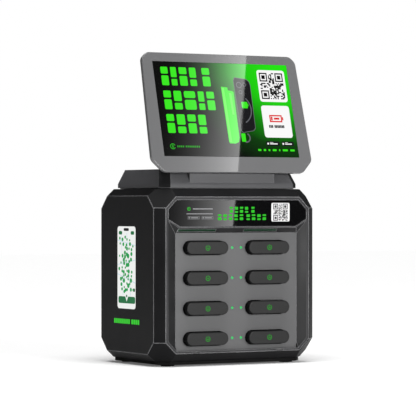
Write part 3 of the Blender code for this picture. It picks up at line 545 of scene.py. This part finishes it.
easedPieces = {
    # nodes: edge width in mm, segments, finish, slot, body
    ("top_cover", "bottom_cover", "corner_post_front_left", "corner_post_front_right",
     "corner_post_rear_left", "corner_post_rear_right"): (0.25, 2, housingAbs, "housing_black", "root"),
    ("side_panel_left", "side_panel_right"): (0.4, 3, housingAbs, "housing_black", "root"),
    ("front_frame",): (0.35, 3, frameAbs, "frame_dark", "root"),
    ("header_panel",): (0.3, 3, headerAcrylic, "header_gloss", "root"),
    ("slot_panel",): (0.3, 2, panelPaint, "panel_grey", "root"),
    ("led_bar_left", "led_bar_right"): (0.3, 3, idleDiffuser, "led_cover", "root"),
    ("indicator_pipe_left", "indicator_pipe_right"): (0.25, 2, litPipe, "indicator_green", "root"),
    ("plinth",): (0.7, 3, plinthAbs, "frame_dark", "root"),
    ("hinge_pin",): (0.3, 2, brushedSteel, "steel", "root"),
    ("hinge_bracket",): (0.4, 3, zincSteel, "steel", "display"),
    ("rear_panel",): (0.3, 2, housingAbs, "housing_black", "root"),
    ("service_door",): (0.4, 3, frameAbs, "frame_dark", "door"),
    ("lock_barrel",): (0.5, 3, brushedSteel, "steel", "lock"),
    ("lock_cam",): (0.3, 2, zincSteel, "steel", "lock"),
    ("power_inlet",): (0.5, 3, shellAbs, "housing_black", "root"),
    ("rocker_switch",): (0.5, 3, shellAbs, "housing_black", "switch"),
    ("base_plate",): (0.5, 2, footRubber, "rubber", "root"),
    ("latch_rail",): (0.3, 2, zincSteel, "steel", "root"),
    ("main_board",): (0.1, 1, solderMask, "board_green", "root"),
    ("power_supply",): (0.4, 2, zincSteel, "steel", "root"),
    ("foot_front_left", "foot_front_right", "foot_rear_left", "foot_rear_right"):
        (0.4, 3, footRubber, "rubber", "root"),
}
for n in range(1, 9):
    easedPieces[(f"slot_cassette_{n}",)] = (0.2, 1, cassetteAbs, "frame_dark", "root")
    easedPieces[(f"slot_latch_{n}",)] = (0.4, 2, naturalNylon, "nylon", f"latch_{n}")
screwSeat = {"spots": [(x, z) for x in (-104, 104) for z in (14, 108, 203)], "radius": 3.0, "deep": 1.2}
seats = bmesh.new()
for x, z in screwSeat["spots"]:
    ring = [(x + screwSeat["radius"] * math.cos(a), z + screwSeat["radius"] * math.sin(a))
            for a in (2 * math.pi * k / 24 for k in range(24))]
    loft([[rearPlane @ (Vector((u, y, v)) * mm) for u, v in ring] for y in (-1, screwSeat["deep"])], seats)
# two shallow notches in the lower lip, where a tool lifts the frame out
frameNotch = {"middle": 66, "wide": 9, "deep": 1.6, "tall": 1.3}
notches = bmesh.new()
for x in (-frameNotch["middle"], frameNotch["middle"]):
    half, foot = frameNotch["wide"] / 2 * mm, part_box("front_frame")[0].z
    block(x * mm - half, frontY - mm, foot - mm, x * mm + half, frontY + frameNotch["deep"] * mm,
          foot + frameNotch["tall"] * mm, notches)
secondFinishes = {
    # node: finish for some of its faces, and which faces
    # the frame's foremost faces take the paler copy: painted highlight
    "front_frame": (rimHighlightAbs, lambda face: face.center.y < frontY + 0.0002 and face.normal.y < -0.9),
    # its slanted corner facets take the darker frame finish: painted shade
    "plinth": (frameAbs, lambda face: abs(face.normal.x) > 0.3 and abs(face.normal.y) > 0.3),
    # the walls of the slots and the panel's edges take the black tray finish: painted shade in the openings
    "slot_panel": (cassetteAbs, lambda face: abs(face.normal.y) < 0.4),
}


def finishSome(mesh, finish, chosen):
    mesh.materials.append(finish)
    for face in mesh.polygons:
        face.material_index = int(chosen(face))


cutters = {"rear_panel": seats, "front_frame": notches}
for names, (width, segments, finish, slotName, body) in easedPieces.items():
    for node in names:
        mesh = cleanCopy(node)
        if node in cutters:
            mesh = carved(mesh, meshOf(cutters[node]))
        mesh = settled(mesh, bevelled(width * mm, segments))
        eased = enter(node + "_eased", mesh, body, finish, (node,))
        if node in secondFinishes:
            finishSome(eased.data, *secondFinishes[node])
print("eased pieces:", sum(len(names) for names in easedPieces))


# flat graphics

def roundRect(x0, z0, x1, z1, radius=0.0, steps=5):
    if radius <= 0:
        return [(x0, z0), (x1, z0), (x1, z1), (x0, z1)]
    points = []
    for cx, cz, start in ((x1 - radius, z0 + radius, -90), (x1 - radius, z1 - radius, 0),
                          (x0 + radius, z1 - radius, 90), (x0 + radius, z0 + radius, 180)):
        for k in range(steps + 1):
            a = math.radians(start + 90 * k / steps)
            points.append((cx + radius * math.cos(a), cz + radius * math.sin(a)))
    return points


def disc(x, z, radius, steps=20):
    return [(x + radius * math.cos(2 * math.pi * k / steps), z + radius * math.sin(2 * math.pi * k / steps))
            for k in range(steps)]


def arcBand(x, z, outer, inner, start, end, steps=16):
    angles = [math.radians(start + (end - start) * k / steps) for k in range(steps + 1)]
    return ([(x + outer * math.cos(a), z + outer * math.sin(a)) for a in angles]
            + [(x + inner * math.cos(a), z + inner * math.sin(a)) for a in reversed(angles)])


def hollowRect(x0, z0, x1, z1, wide):
    return [roundRect(x0, z0, x1, z0 + wide), roundRect(x0, z1 - wide, x1, z1),
            roundRect(x0, z0 + wide, x0 + wide, z1 - wide), roundRect(x1 - wide, z0 + wide, x1, z1 - wide)]


def printed(name, outlines, plane, finish, body, proud=0.06, sink=0.05):
    # thin closed plates, in millimetres on a plane, standing proud of it
    bm = bmesh.new()
    for outline in outlines:
        rings = [[plane @ (Vector((x, depth, z)) * mm) for x, z in outline] for depth in (sink, -proud)]
        loft(rings, bm)
    return enter(name, meshOf(bm, name), body, finish, smooth=None)


def onHeader(name, outlines, finish):
    return printed(name, outlines, headerPlane, finish, "root")


def onSide(name, outlines, finish, proud, sink=0.05):
    # measured back from the front face, which runs to the left on this side
    mirroredOutlines = [[(-u, v) for u, v in outline] for outline in outlines]
    return printed(name, mirroredOutlines, sidePlane, finish, "root", proud, sink)


def onScreen(name, outlines, finish, proud=0.06, sink=0.05):
    return printed(name, outlines, displayPlane, finish, "display", proud, sink)


def onPlane(mesh, plane, x, z, proud):
    # lays a mesh grown in XY onto the plane, its thickness outwards
    mesh.transform(plane @ Matrix.Translation((x * mm, -proud * mm, z * mm)) @ upright)
    return mesh


def codeSquare(name, x0, z0, size, plane, body, finish, proud, seed):
    # a made-up square code: three finder corners and random cells
    cells = 21
    cell = size / cells
    mesh = grown(modulesGrow, finish, Size=size * mm, Cells=cells, Thick=0.00008, Fill=0.57, Clear=8,
                 Seed=seed)
    middle = size / 2
    enter(name + "_cells", onPlane(mesh, plane, x0 + middle, z0 + middle, proud), body, finish,
          smooth=None)
    outlines = []
    for u, v in ((0, 0), (0, cells - 7), (cells - 7, cells - 7)):
        x, z = x0 + u * cell, z0 + v * cell
        outlines += hollowRect(x, z, x + 7 * cell, z + 7 * cell, cell)
        outlines.append(roundRect(x + 2 * cell, z + 2 * cell, x + 5 * cell, z + 5 * cell))
    printed(name + "_finders", outlines, plane, finish, body, proud + 0.04, -proud + 0.04)


headerArt = {
    "badge": (-78.7, 199.3, 2.6),
    "whiteBars": ((-72.4, 198.6, -40.8, 200.0), (-82.7, 192.0, -40.8, 193.1)),
    "badges": ((-80.3, 185.2, -62.0, 189.0), (-58.2, 185.2, -40.4, 189.0)),
    "greenRows": (((-13.9, 26.2), 193.9, 202.2, (4, 1)), ((-32.8, 44.9), 183.8, 191.8, (5, 4))),
    "codeCard": (53.6, 181.7, 83.5, 207.6),
}


def barRow(x0, x1, z0, z1, words, gap, wordGap, slit=0.0):
    # blocks in the place of words: a word is a count of equal blocks or the widths of its blocks,
    # and a slit cuts each block in two
    runs = [word if isinstance(word, tuple) else (1,) * word for word in words]
    total = sum(len(run) for run in runs)
    free = (x1 - x0) - wordGap * (len(runs) - 1) - gap * (total - len(runs))
    unit = free / sum(sum(run) for run in runs)
    outlines, x = [], x0
    for run in runs:
        for share in run:
            width = share * unit
            round_ = min(width, z1 - z0) * (0.15 if slit else 0.22)
            split = z0 + (z1 - z0) * (0.40 if len(outlines) % 4 else 0.58)
            spans = ((z0, split - slit / 2), (split + slit / 2, z1)) if slit else ((z0, z1),)
            outlines += [roundRect(x, low, x + width, high, round_) for low, high in spans]
            x += width + gap
        x += wordGap - gap
    return outlines


greens = [arcBand(*headerArt["badge"][:2], 2.6, 1.9, 0, 359.9, 28), disc(*headerArt["badge"][:2], 0.9)]
for (x0, x1), z0, z1, words in headerArt["greenRows"]:
    greens += barRow(x0, x1, z0, z1, words, 3.0, 5.2, 1.7)
onHeader("header_green_blocks", greens, inkGreen)
whites = [roundRect(*bar, 0.5) for bar in headerArt["whiteBars"]]
for x0, z0, x1, z1 in headerArt["badges"]:
    whites += hollowRect(x0, z0, x1, z1, 0.35)
    whites += [roundRect(x0 + 4.6, z0 + 1.3, x1 - 2, z0 + 2.5),
               roundRect(x0 + 1.4, z0 + 1.1, x0 + 3.2, z1 - 1.0)]
onHeader("header_white_bars", whites, inkWhite)
x0, z0, x1, z1 = headerArt["codeCard"]
onHeader("header_code_card", [roundRect(x0, z0, x1, z1, 2.2)], inkCard)
codeSquare("header_code", x0 + 2.9, z0 + 1.1, 23.7, headerPlane, "root", inkBlack, 0.1, 3)
print("header graphics ready")

sideArt = {
    "poster": (60.6, 59.2, 116.3, 176.4),
    "corner": 6.0,
    "border": 1.4,
    "notch": (81.5, 168.6, 96.5, 172.6),
    "icon": (66.0, 87.0, 2.6),
    "streets": (((62.3, 96), (114.8, 108), (114.8, 109.4), (62.3, 97.4)),
                ((62.3, 128), (114.8, 121), (114.8, 122.2), (62.3, 129.2)),
                ((76, 79), (77.4, 79), (88.4, 166), (87.0, 166)),
                ((98, 79), (99.2, 79), (104.2, 166), (103.0, 166)),
                ((62.3, 148), (114.8, 155), (114.8, 156.4), (62.3, 149.4))),
    "cards": ((63.0, 68.0, 112.0, 77.6, 3.0), (66, 163.5, 76, 168.5, 2.4), (101, 163.5, 111, 168.5, 2.4)),
    "pin": ((82.6, 79.0), (87.6, 70.6), (92.6, 79.0), (90.2, 81.6), (85.0, 81.6)),
    "pinEye": (87.6, 78.2, 1.9),
    "dotField": (46, 78, 121),  # width, height and middle height
    "dotSpacing": 4.2,
    "dotRadius": 2.8,
    "line": (51.6, 125.3, 39.6, 46.3),
}
u0, v0, u1, v1 = sideArt["poster"]
r, b = sideArt["corner"], sideArt["border"]
onSide("poster_edge", [roundRect(u0, v0, u1, v1, r)], posterBlack, 0.10)
onSide("poster_map", [roundRect(u0 + b, v0 + b, u1 - b, v1 - b, r - b)], posterWhite, 0.16, -0.02)
onSide("poster_notch", [roundRect(*sideArt["notch"], 1.9), disc(*sideArt["icon"])], posterBlack, 0.22, -0.08)
onSide("poster_streets", sideArt["streets"], posterPale, 0.19, -0.12)
onSide("poster_card", [roundRect(*card) for card in sideArt["cards"]], posterCard, 0.23, -0.08)
onSide("poster_pin", [sideArt["pin"]], posterWhite, 0.27, -0.20)
onSide("poster_pin_eye", [disc(*sideArt["pinEye"])], posterCard, 0.31, -0.24)
wide, tall, middle = sideArt["dotField"]
dots = grown(dotsGrow, posterGreen, Width=wide * mm, Height=tall * mm, Spacing=sideArt["dotSpacing"] * mm,
             Density=60000.0, Radius=sideArt["dotRadius"] * mm, Thick=0.00012, Seed=5)
enter("poster_dots", onPlane(dots, sidePlane, -(u0 + u1) / 2, middle, 0.20), "root",
      posterGreen, smooth=None)
onSide("side_green_line", barRow(*sideArt["line"], (4, 8), 1.3, 4.5), sideGreen, 0.08)
print("side graphics ready")

screenArt = {
    # headline rows: left and right end, height span, widths of the blocks in each word
    "rows": (
        (-97.5, -20.0, 124.4, 151.2, ((11, 9, 12, 10.5), (12,))),
        (-97.7, -17.2, 89.8, 116.7, ((11, 11.5, 17, 9, 11.5),)),
        (-97.8, -35.6, 55.7, 82.8, ((11.5, 12.5, 12.5, 11.5),)),
    ),
    "blockGap": 4.2,
    "wordGap": 9.5,
    "slit": 2.6,
    "codeCard": (57.4, 104.0, 103.0, 150.8),
    "batteryCard": (57.0, 51.4, 103.0, 98.4),
}
screenBars = []
for x0, x1, z0, z1, words in screenArt["rows"]:
    screenBars += barRow(x0, x1, z0, z1, words, screenArt["blockGap"], screenArt["wordGap"],
                         screenArt["slit"])
onScreen("screen_headline_bars", screenBars, litGreen)
badge = [arcBand(-93.6, 36.6, 4.2, 3.1, 20, 340, 24), roundRect(-94.4, 34.2, -92.8, 39.0, 0.7)]
badge += barRow(-86.5, -51.0, 35.3, 37.9, (4, 8), 1.4, 3.0)
onScreen("screen_badge_line", badge, litDeepGreen)
cards = [roundRect(*screenArt["codeCard"], 4.0), roundRect(*screenArt["batteryCard"], 4.0)]
onScreen("screen_cards", cards, litWhite)
x0, z0, x1, z1 = screenArt["codeCard"]
codeSquare("screen_code", x0 + 3.4, z0 + 4.0, 38.8, displayPlane, "display", unlitBlack, 0.1, 7)
reds = hollowRect(68.4, 74.0, 89.0, 84.6, 1.9)
reds += [roundRect(89.2, 77.0, 91.0, 81.6), roundRect(70.9, 76.5, 73.4, 82.1),
         roundRect(75.6, 77.9, 84.6, 80.7)]
onScreen("screen_red_battery", reds, litRed, 0.12, -0.02)
onScreen("screen_card_line", barRow(66, 91.0, 65.6, 69.8, (3, 7), 0.5, 2.2), unlitBlack, 0.12, -0.02)
pills = [roundRect(57.3, 39.3, 79.4, 45.8, 1.4), roundRect(83.0, 39.3, 102.7, 45.8, 1.4)]
onScreen("screen_dark_pills", pills, litDark)
inPills = [roundRect(63.5, 41.4, 76.0, 42.9, 0.5), roundRect(88.4, 41.4, 99.6, 42.9, 0.5),
           disc(60.4, 42.4, 1.5, 12), disc(85.4, 42.4, 1.5, 12), roundRect(63.5, 43.9, 69.0, 44.5),
           roundRect(88.4, 43.9, 93.0, 44.5)]
onScreen("screen_pill_bars", inPills, litWhite, 0.11, -0.02)
icons, x = [], 42.5
for width in (5.2, 4.0, 3.0, 6.5, 2.2, 8.5, 7.5):
    icons.append(roundRect(x, 31.5, x + width, 34.4, 0.9))
    x += width + 3.9
onScreen("screen_icon_row", icons, litGreen)
# the picture in the middle: a power bank leaning beside a phone that it charges
onScreen("picture_bank", [[(-4.1, 124.5), (6.1, 123.6), (6.4, 119.3), (13.4, 118.4), (15.2, 116.6),
                           (14.9, 50.4), (13.0, 44.0), (7.3, 41.8), (-1.6, 42.0), (-2.8, 44.6)]], litGreen)
onScreen("picture_bank_light", [[(-3.6, 122.9), (0.4, 122.7), (2.0, 44.0), (-1.6, 44.2)],
                                [(7.6, 115.6), (11.4, 115.0), (11.8, 84.0), (8.6, 84.0)]],
         litLime, 0.10, -0.02)
phone = [(17.0, 134.6), (19.4, 138.9), (38.6, 136.8), (43.2, 133.0), (44.4, 128.0), (43.4, 64.4),
         (40.0, 60.6), (22.0, 57.6), (19.2, 60.4), (18.4, 68.0)]
onScreen("picture_phone_edge", [phone], litGrey, 0.08)
inner = [(x + (30.6 - x) * 0.065, z + (98 - z) * 0.022) for x, z in phone]
onScreen("picture_phone", [inner], litDark, 0.12, -0.03)
glints = [arcBand(18.5, 92.0, 22.6, 20.9, -62, 48, 20), arcBand(25.4, 127.6, 4.6, 3.4, 0, 359.9, 20),
          arcBand(34.4, 128.4, 3.0, 2.1, 0, 359.9, 16), arcBand(26.6, 117.2, 3.0, 2.1, 0, 359.9, 16)]
onScreen("picture_phone_glints", glints, litGrey, 0.16, -0.08)
onScreen("picture_charge_mark", [roundRect(25.6, 93.6, 35.2, 103.0, 1.4),
                                 roundRect(35.5, 96.6, 36.5, 100.2, 0.3),
                                 roundRect(18.4, 44.6, 25.0, 56.8, 1.2)], litGreen, 0.17, -0.02)
onScreen("picture_cable", [arcBand(25.6, 50.6, 7.4, 5.4, -105, 62, 18)], litGrey, 0.10)
print("screen graphics ready")

# power banks

bankMark = {"outer": 3.7, "inner": 2.7, "stem": 0.8, "set": 0.00006}
bankMesh = grown(banksGrow, bankLacquer)
bankMesh.materials.clear()
bankMesh.materials.append(bankLacquer)
# every face not turned to the front takes the black body finish: partly the real body, partly painted shade
finishSome(bankMesh, bankBodyAndShadeAbs, lambda face: face.normal.y > -0.6)
for n in range(1, 9):
    low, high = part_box(f"power_bank_{n}")
    spot = Matrix.Translation(((low.x + high.x) / 2, low.y + bankMark["set"], (low.z + high.z) / 2))
    mesh = bankMesh.copy()
    mesh.transform(spot)
    enter(f"bank_shell_{n}", mesh, f"bank_{n}", replaced=(f"power_bank_{n}",), smooth=32)
    ring = [arcBand(0, 0, bankMark["outer"], bankMark["inner"], 118, 422, 26),
            roundRect(-bankMark["stem"] / 2, 0.6, bankMark["stem"] / 2, 4.2),
            roundRect(-1.7, -1.1, 1.7, -0.1)]
    printed(f"bank_mark_{n}", ring, spot, inkBankGreen, f"bank_{n}", 0.04)
print("power banks ready")

# display

displaySizes = {"bottom": 0.2591, "top": 0.2485, "height": 0.1721, "bottomCorner": 0.0178,
                "topCorner": 0.0085, "ease": 0.0045, "bezel": 0.0040, "thick": 0.0240, "edge": 0.0055,
                "taper": 0.0250, "wall": 0.0030, "screenHalf": 0.1085, "screenLow": 0.0228,
                "screenHigh": 0.1589}


def displayOutline(inset, steps=7):
    d = displaySizes
    low, high = inset, d["height"] - inset
    lean = (d["bottom"] - d["top"]) / 2 / d["height"]
    base, crown = d["bottomCorner"] - inset * 0.59, d["topCorner"] - inset * 0.3

    def half(height):
        return d["bottom"] / 2 - height * lean - inset

    right = [(half(low) - base, low), (half(low + base), low + base),
             (half(high - crown), high - crown), (half(high) - crown, high)]
    corners = [Vector(p) for p in right + [(-x, h) for x, h in reversed(right)]]
    points = []
    for i, here in enumerate(corners):
        # each corner is eased over at most 0.45 of the shorter side, so two curves never cross
        back, ahead = corners[i - 1] - here, corners[(i + 1) % len(corners)] - here
        ease = min(d["ease"], 0.45 * min(back.length, ahead.length))
        before, after = here + back.normalized() * ease, here + ahead.normalized() * ease
        for k in range(steps + 1):
            t = k / steps
            points.append(before * (1 - t) ** 2 + here * 2 * t * (1 - t) + after * t * t)
    return points


def displayRing(inset, depth):
    return [displayPlane @ Vector((p.x, depth, p.y)) for p in displayOutline(inset + 0.00001)]


def roundedRings(inset0, depth0, inset1, depth1, steps=4):
    # a quarter-round from a face at depth0 to a side at inset1
    rings = []
    for k in range(steps + 1):
        a = math.pi / 2 * k / steps
        rings.append(displayRing(inset1 + (inset0 - inset1) * (1 - math.sin(a)),
                                 depth0 + (depth1 - depth0) * (1 - math.cos(a))))
    return rings


d = displaySizes
gap = 0.0003
bezelMesh = meshOf(loft(roundedRings(0.0009, 0, 0, 0.0009) + [displayRing(0, d["bezel"])]))
hole = block(-d["screenHalf"] - gap, -0.01, d["screenLow"] - gap, d["screenHalf"] + gap, 0.01,
             d["screenHigh"] + gap)
hole.transform(displayPlane)
bezelMesh = carved(bezelMesh, meshOf(hole))
enter("display_bezel_glass", bezelMesh, "display", bezelGlass, ("display_bezel",), smooth=25)

start = d["bezel"] + gap
outer = [displayRing(0, start), displayRing(0, d["edge"])]
outer += [displayRing(0.0006, d["edge"] + 0.0009), displayRing(d["taper"] - 0.0030, d["thick"] - 0.0020),
          displayRing(d["taper"] - 0.0006, d["thick"] - 0.0003),
          displayRing(d["taper"] + 0.0008, d["thick"])]
hollow = [displayRing(d["wall"], start - 0.001), displayRing(d["wall"], d["edge"]),
          displayRing(d["taper"], d["thick"] - d["wall"])]
shellMesh = carved(meshOf(loft(outer)), meshOf(loft(hollow)))
vents = [(x * mm, 118 * mm, 0) for x in range(-42, 43, 7)]
grooves = grown(pillsGrow, shellAbs, points=vents, Width=0.0028, Height=0.022, Thick=0.004)
grooves.transform(displayPlane @ Matrix.Translation((0, d["thick"] + 0.0028, 0)) @ upright)
shellMesh = carved(shellMesh, grooves)
enter("display_back_cover", shellMesh, "display", shellAbs, ("display_back_shell",),
      smooth=8)
nodes["lcd_panel"].data.materials.clear()
nodes["lcd_panel"].data.materials.append(screenGlass)
print("display ready")

# screws, pins and board parts

screw = {"Radius": 0.0026, "Head": 0.0010, "Socket": 0.0012}
points = [rearPlane @ (Vector((x, screwSeat["deep"] - 0.1, z)) * mm) for x, z in screwSeat["spots"]]
screws = grown(screwsGrow, brushedSteel, points, Turn=(-math.pi / 2, 0, 0), **screw)
enter("rear_screws", screws, "root", brushedSteel, smooth=30)
# the bracket is held to the back cover by four more, seen when the display leans forward
inDisplay = [displayPlane.inverted() @ v.co for v in nodes["hinge_bracket"].data.vertices]
plateBack = max(p.y for p in inDisplay)
plateTop, plateHalf = max(p.z for p in inDisplay), max(p.x for p in inDisplay)
points = [displayPlane @ Vector((x, plateBack, plateTop - drop * mm))
          for x in (-plateHalf + 8 * mm, plateHalf - 8 * mm) for drop in (8, 26)]
screws = grown(screwsGrow, brushedSteel, points, Turn=(-math.pi / 2 - restTilt, 0, 0), **screw)
enter("bracket_screws", screws, "display", brushedSteel, smooth=30)
low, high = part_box("power_inlet")
middle = (low + high) / 2
inletBlade = {"spots": ((-5.5, -2.0), (5.5, -2.0), (0, 2.4)), "halfWide": 1.1, "halfTall": 2.1,
              "from": 15.0, "to": 3.0}
blades = bmesh.new()
for dx, dz in inletBlade["spots"]:
    block(middle.x + (dx - inletBlade["halfWide"]) * mm, high.y - inletBlade["from"] * mm,
          middle.z + (dz - inletBlade["halfTall"]) * mm, middle.x + (dx + inletBlade["halfWide"]) * mm,
          high.y - inletBlade["to"] * mm, middle.z + (dz + inletBlade["halfTall"]) * mm, blades)
enter("inlet_blades", settled(meshOf(blades), bevelled(0.0003, 2)), "root", contactBrass,
      smooth=None)
low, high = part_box("main_board")
chips = grown(chipsGrow, chipEpoxy, Width=high.x - low.x - 0.016, Height=high.z - low.z - 0.016,
              Spacing=0.0095, Tall=0.0030, Seed=11)
chips.transform(Matrix.Translation(((low.x + high.x) / 2, high.y + 0.0011, (low.z + high.z) / 2)) @ upright)
enter("board_parts", chips, "root", chipEpoxy, smooth=None)
print("fixings ready")

# studio

studio = {
    "floor": 7.0, "floorThick": 0.02, "floorGlow": 0.12, "fill": 0.06,
    "sun": 3.1, "sunFrom": (-0.4, -0.7, 3), "sunSpread": 50,
    "key": 48.0, "keyFrom": (0.40, -2.60, 0.62), "keyTo": (0, 0, 0.22), "keyWide": 0.8, "keyTall": 0.9,
    "gloss": 5.6, "glossWide": 0.23, "glossFade": 2.8, "glossBack": 1.5,
    "headerGloss": ((-8.8, 175.8), (-4.8, 211.7)), "headerReach": (-0.15, 0.35),
    "screenGloss": ((5.0, 2.2), (45.1, 172.7)), "screenReach": (-0.25, 0.60),
    "lens": (-1.7357, -3.0074, 0.2205), "focal": 212.4, "sensor": 36, "cameraTurn": (89.95, 0, -30),
}
reach = studio["floor"]
floorMesh = meshOf(block(-reach, -reach, -studio["floorThick"], reach, reach, 0))
floorMesh.materials.append(texturedFinish("PaperWhiteMatte", "#f4f4f4", 0.9, 0.004, 0.00001, 0.01,
                                          Emission_Color=(1, 1, 1, 1),
                                          Emission_Strength=studio["floorGlow"]))
placed("studio_floor", floorMesh)

world = bpy.data.worlds.new("studio")
scene.world = world
world.use_nodes = True
sky = world.node_tree
seen = addNode(sky, "ShaderNodeLightPath").outputs["Is Camera Ray"]
bright = addNode(sky, "ShaderNodeMapRange", {0: seen, 3: studio["fill"], 4: 1.0})
wire(sky, sky.nodes["Background"], {"Color": (1, 1, 1, 1), "Strength": bright})


def addLight(name, kind, place, target, power, **settings):
    lamp = bpy.data.lights.new(name, kind)
    lamp.energy = power
    for key, value in settings.items():
        setattr(lamp, key, value)
    holder = placed(name, lamp)
    holder.location = place
    holder.rotation_euler = (Vector(target) - Vector(place)).to_track_quat("-Z", "Y").to_euler()
    holder.visible_camera = False
    return holder


addLight("overhead_sun", "SUN", studio["sunFrom"], (0, 0, 0), studio["sun"],
         angle=math.radians(studio["sunSpread"]))
addLight("front_softbox", "AREA", studio["keyFrom"], studio["keyTo"], studio["key"], shape="RECTANGLE",
         size=studio["keyWide"], size_y=studio["keyTall"])

# tall softboxes whose slanted edges are mirrored in the header and the display
lens = Vector(studio["lens"])


def mirrored(point, normal, reach):
    # where the line of sight to a glossy point goes after it bounces, as far as a plane at y = reach
    sight = (point - lens).normalized()
    bounced = sight - 2 * sight.dot(normal) * normal
    return point + bounced * ((reach - point.y) / bounced.y)


def addGloss(name, low, high, reach):
    # a tall lamp that fades to its left and ends in a sharp slanted edge, which runs through low and high
    slant = math.atan2(high.x - low.x, high.z - low.z)
    across = Vector((math.cos(slant), 0, -math.sin(slant)))
    upEdge = Vector((math.sin(slant), 0, math.cos(slant)))
    wide, tall = studio["glossWide"], reach[1] - reach[0]
    centre = low + upEdge * (sum(reach) / 2) - across * wide / 2
    holder = addLight(name, "AREA", centre, centre, math.pi * wide * tall, shape="RECTANGLE", size=wide,
                      size_y=tall)
    turn = Matrix((across, upEdge, across.cross(upEdge))).transposed().to_4x4()
    holder.matrix_world = Matrix.Translation(centre) @ turn
    holder.data.use_nodes = True
    tree = holder.data.node_tree
    place = addNode(tree, "ShaderNodeNewGeometry").outputs["Parametric"]
    sideways = addNode(tree, "ShaderNodeSeparateXYZ", (place,))
    growing = addNode(tree, "POWER", (sideways, studio["glossFade"]))
    strong = addNode(tree, "MULTIPLY", (growing, studio["gloss"]))
    wire(tree, tree.nodes["Emission"], {"Strength": strong})


softboxY = frontY - studio["glossBack"]
displayNormal = (displayPlane.to_3x3() @ Vector((0, -1, 0))).normalized()
glossy = ("header", headerPlane, Vector((0, -1, 0))), ("screen", displayPlane, displayNormal)
for name, plane, normal in glossy:
    foot, top = [mirrored(plane @ (Vector((x, 0, z)) * mm), normal, softboxY)
                 for x, z in studio[name + "Gloss"]]
    addGloss(name + "_softbox", foot, top, studio[name + "Reach"])

cameraData = bpy.data.cameras.new("camera")
cameraData.lens, cameraData.sensor_width = studio["focal"], studio["sensor"]
camera = placed("camera", cameraData)
camera.location = lens
camera.rotation_euler = [math.radians(a) for a in studio["cameraTurn"]]
scene.camera = camera
scene.view_settings.view_transform = "Standard"
print("studio ready")
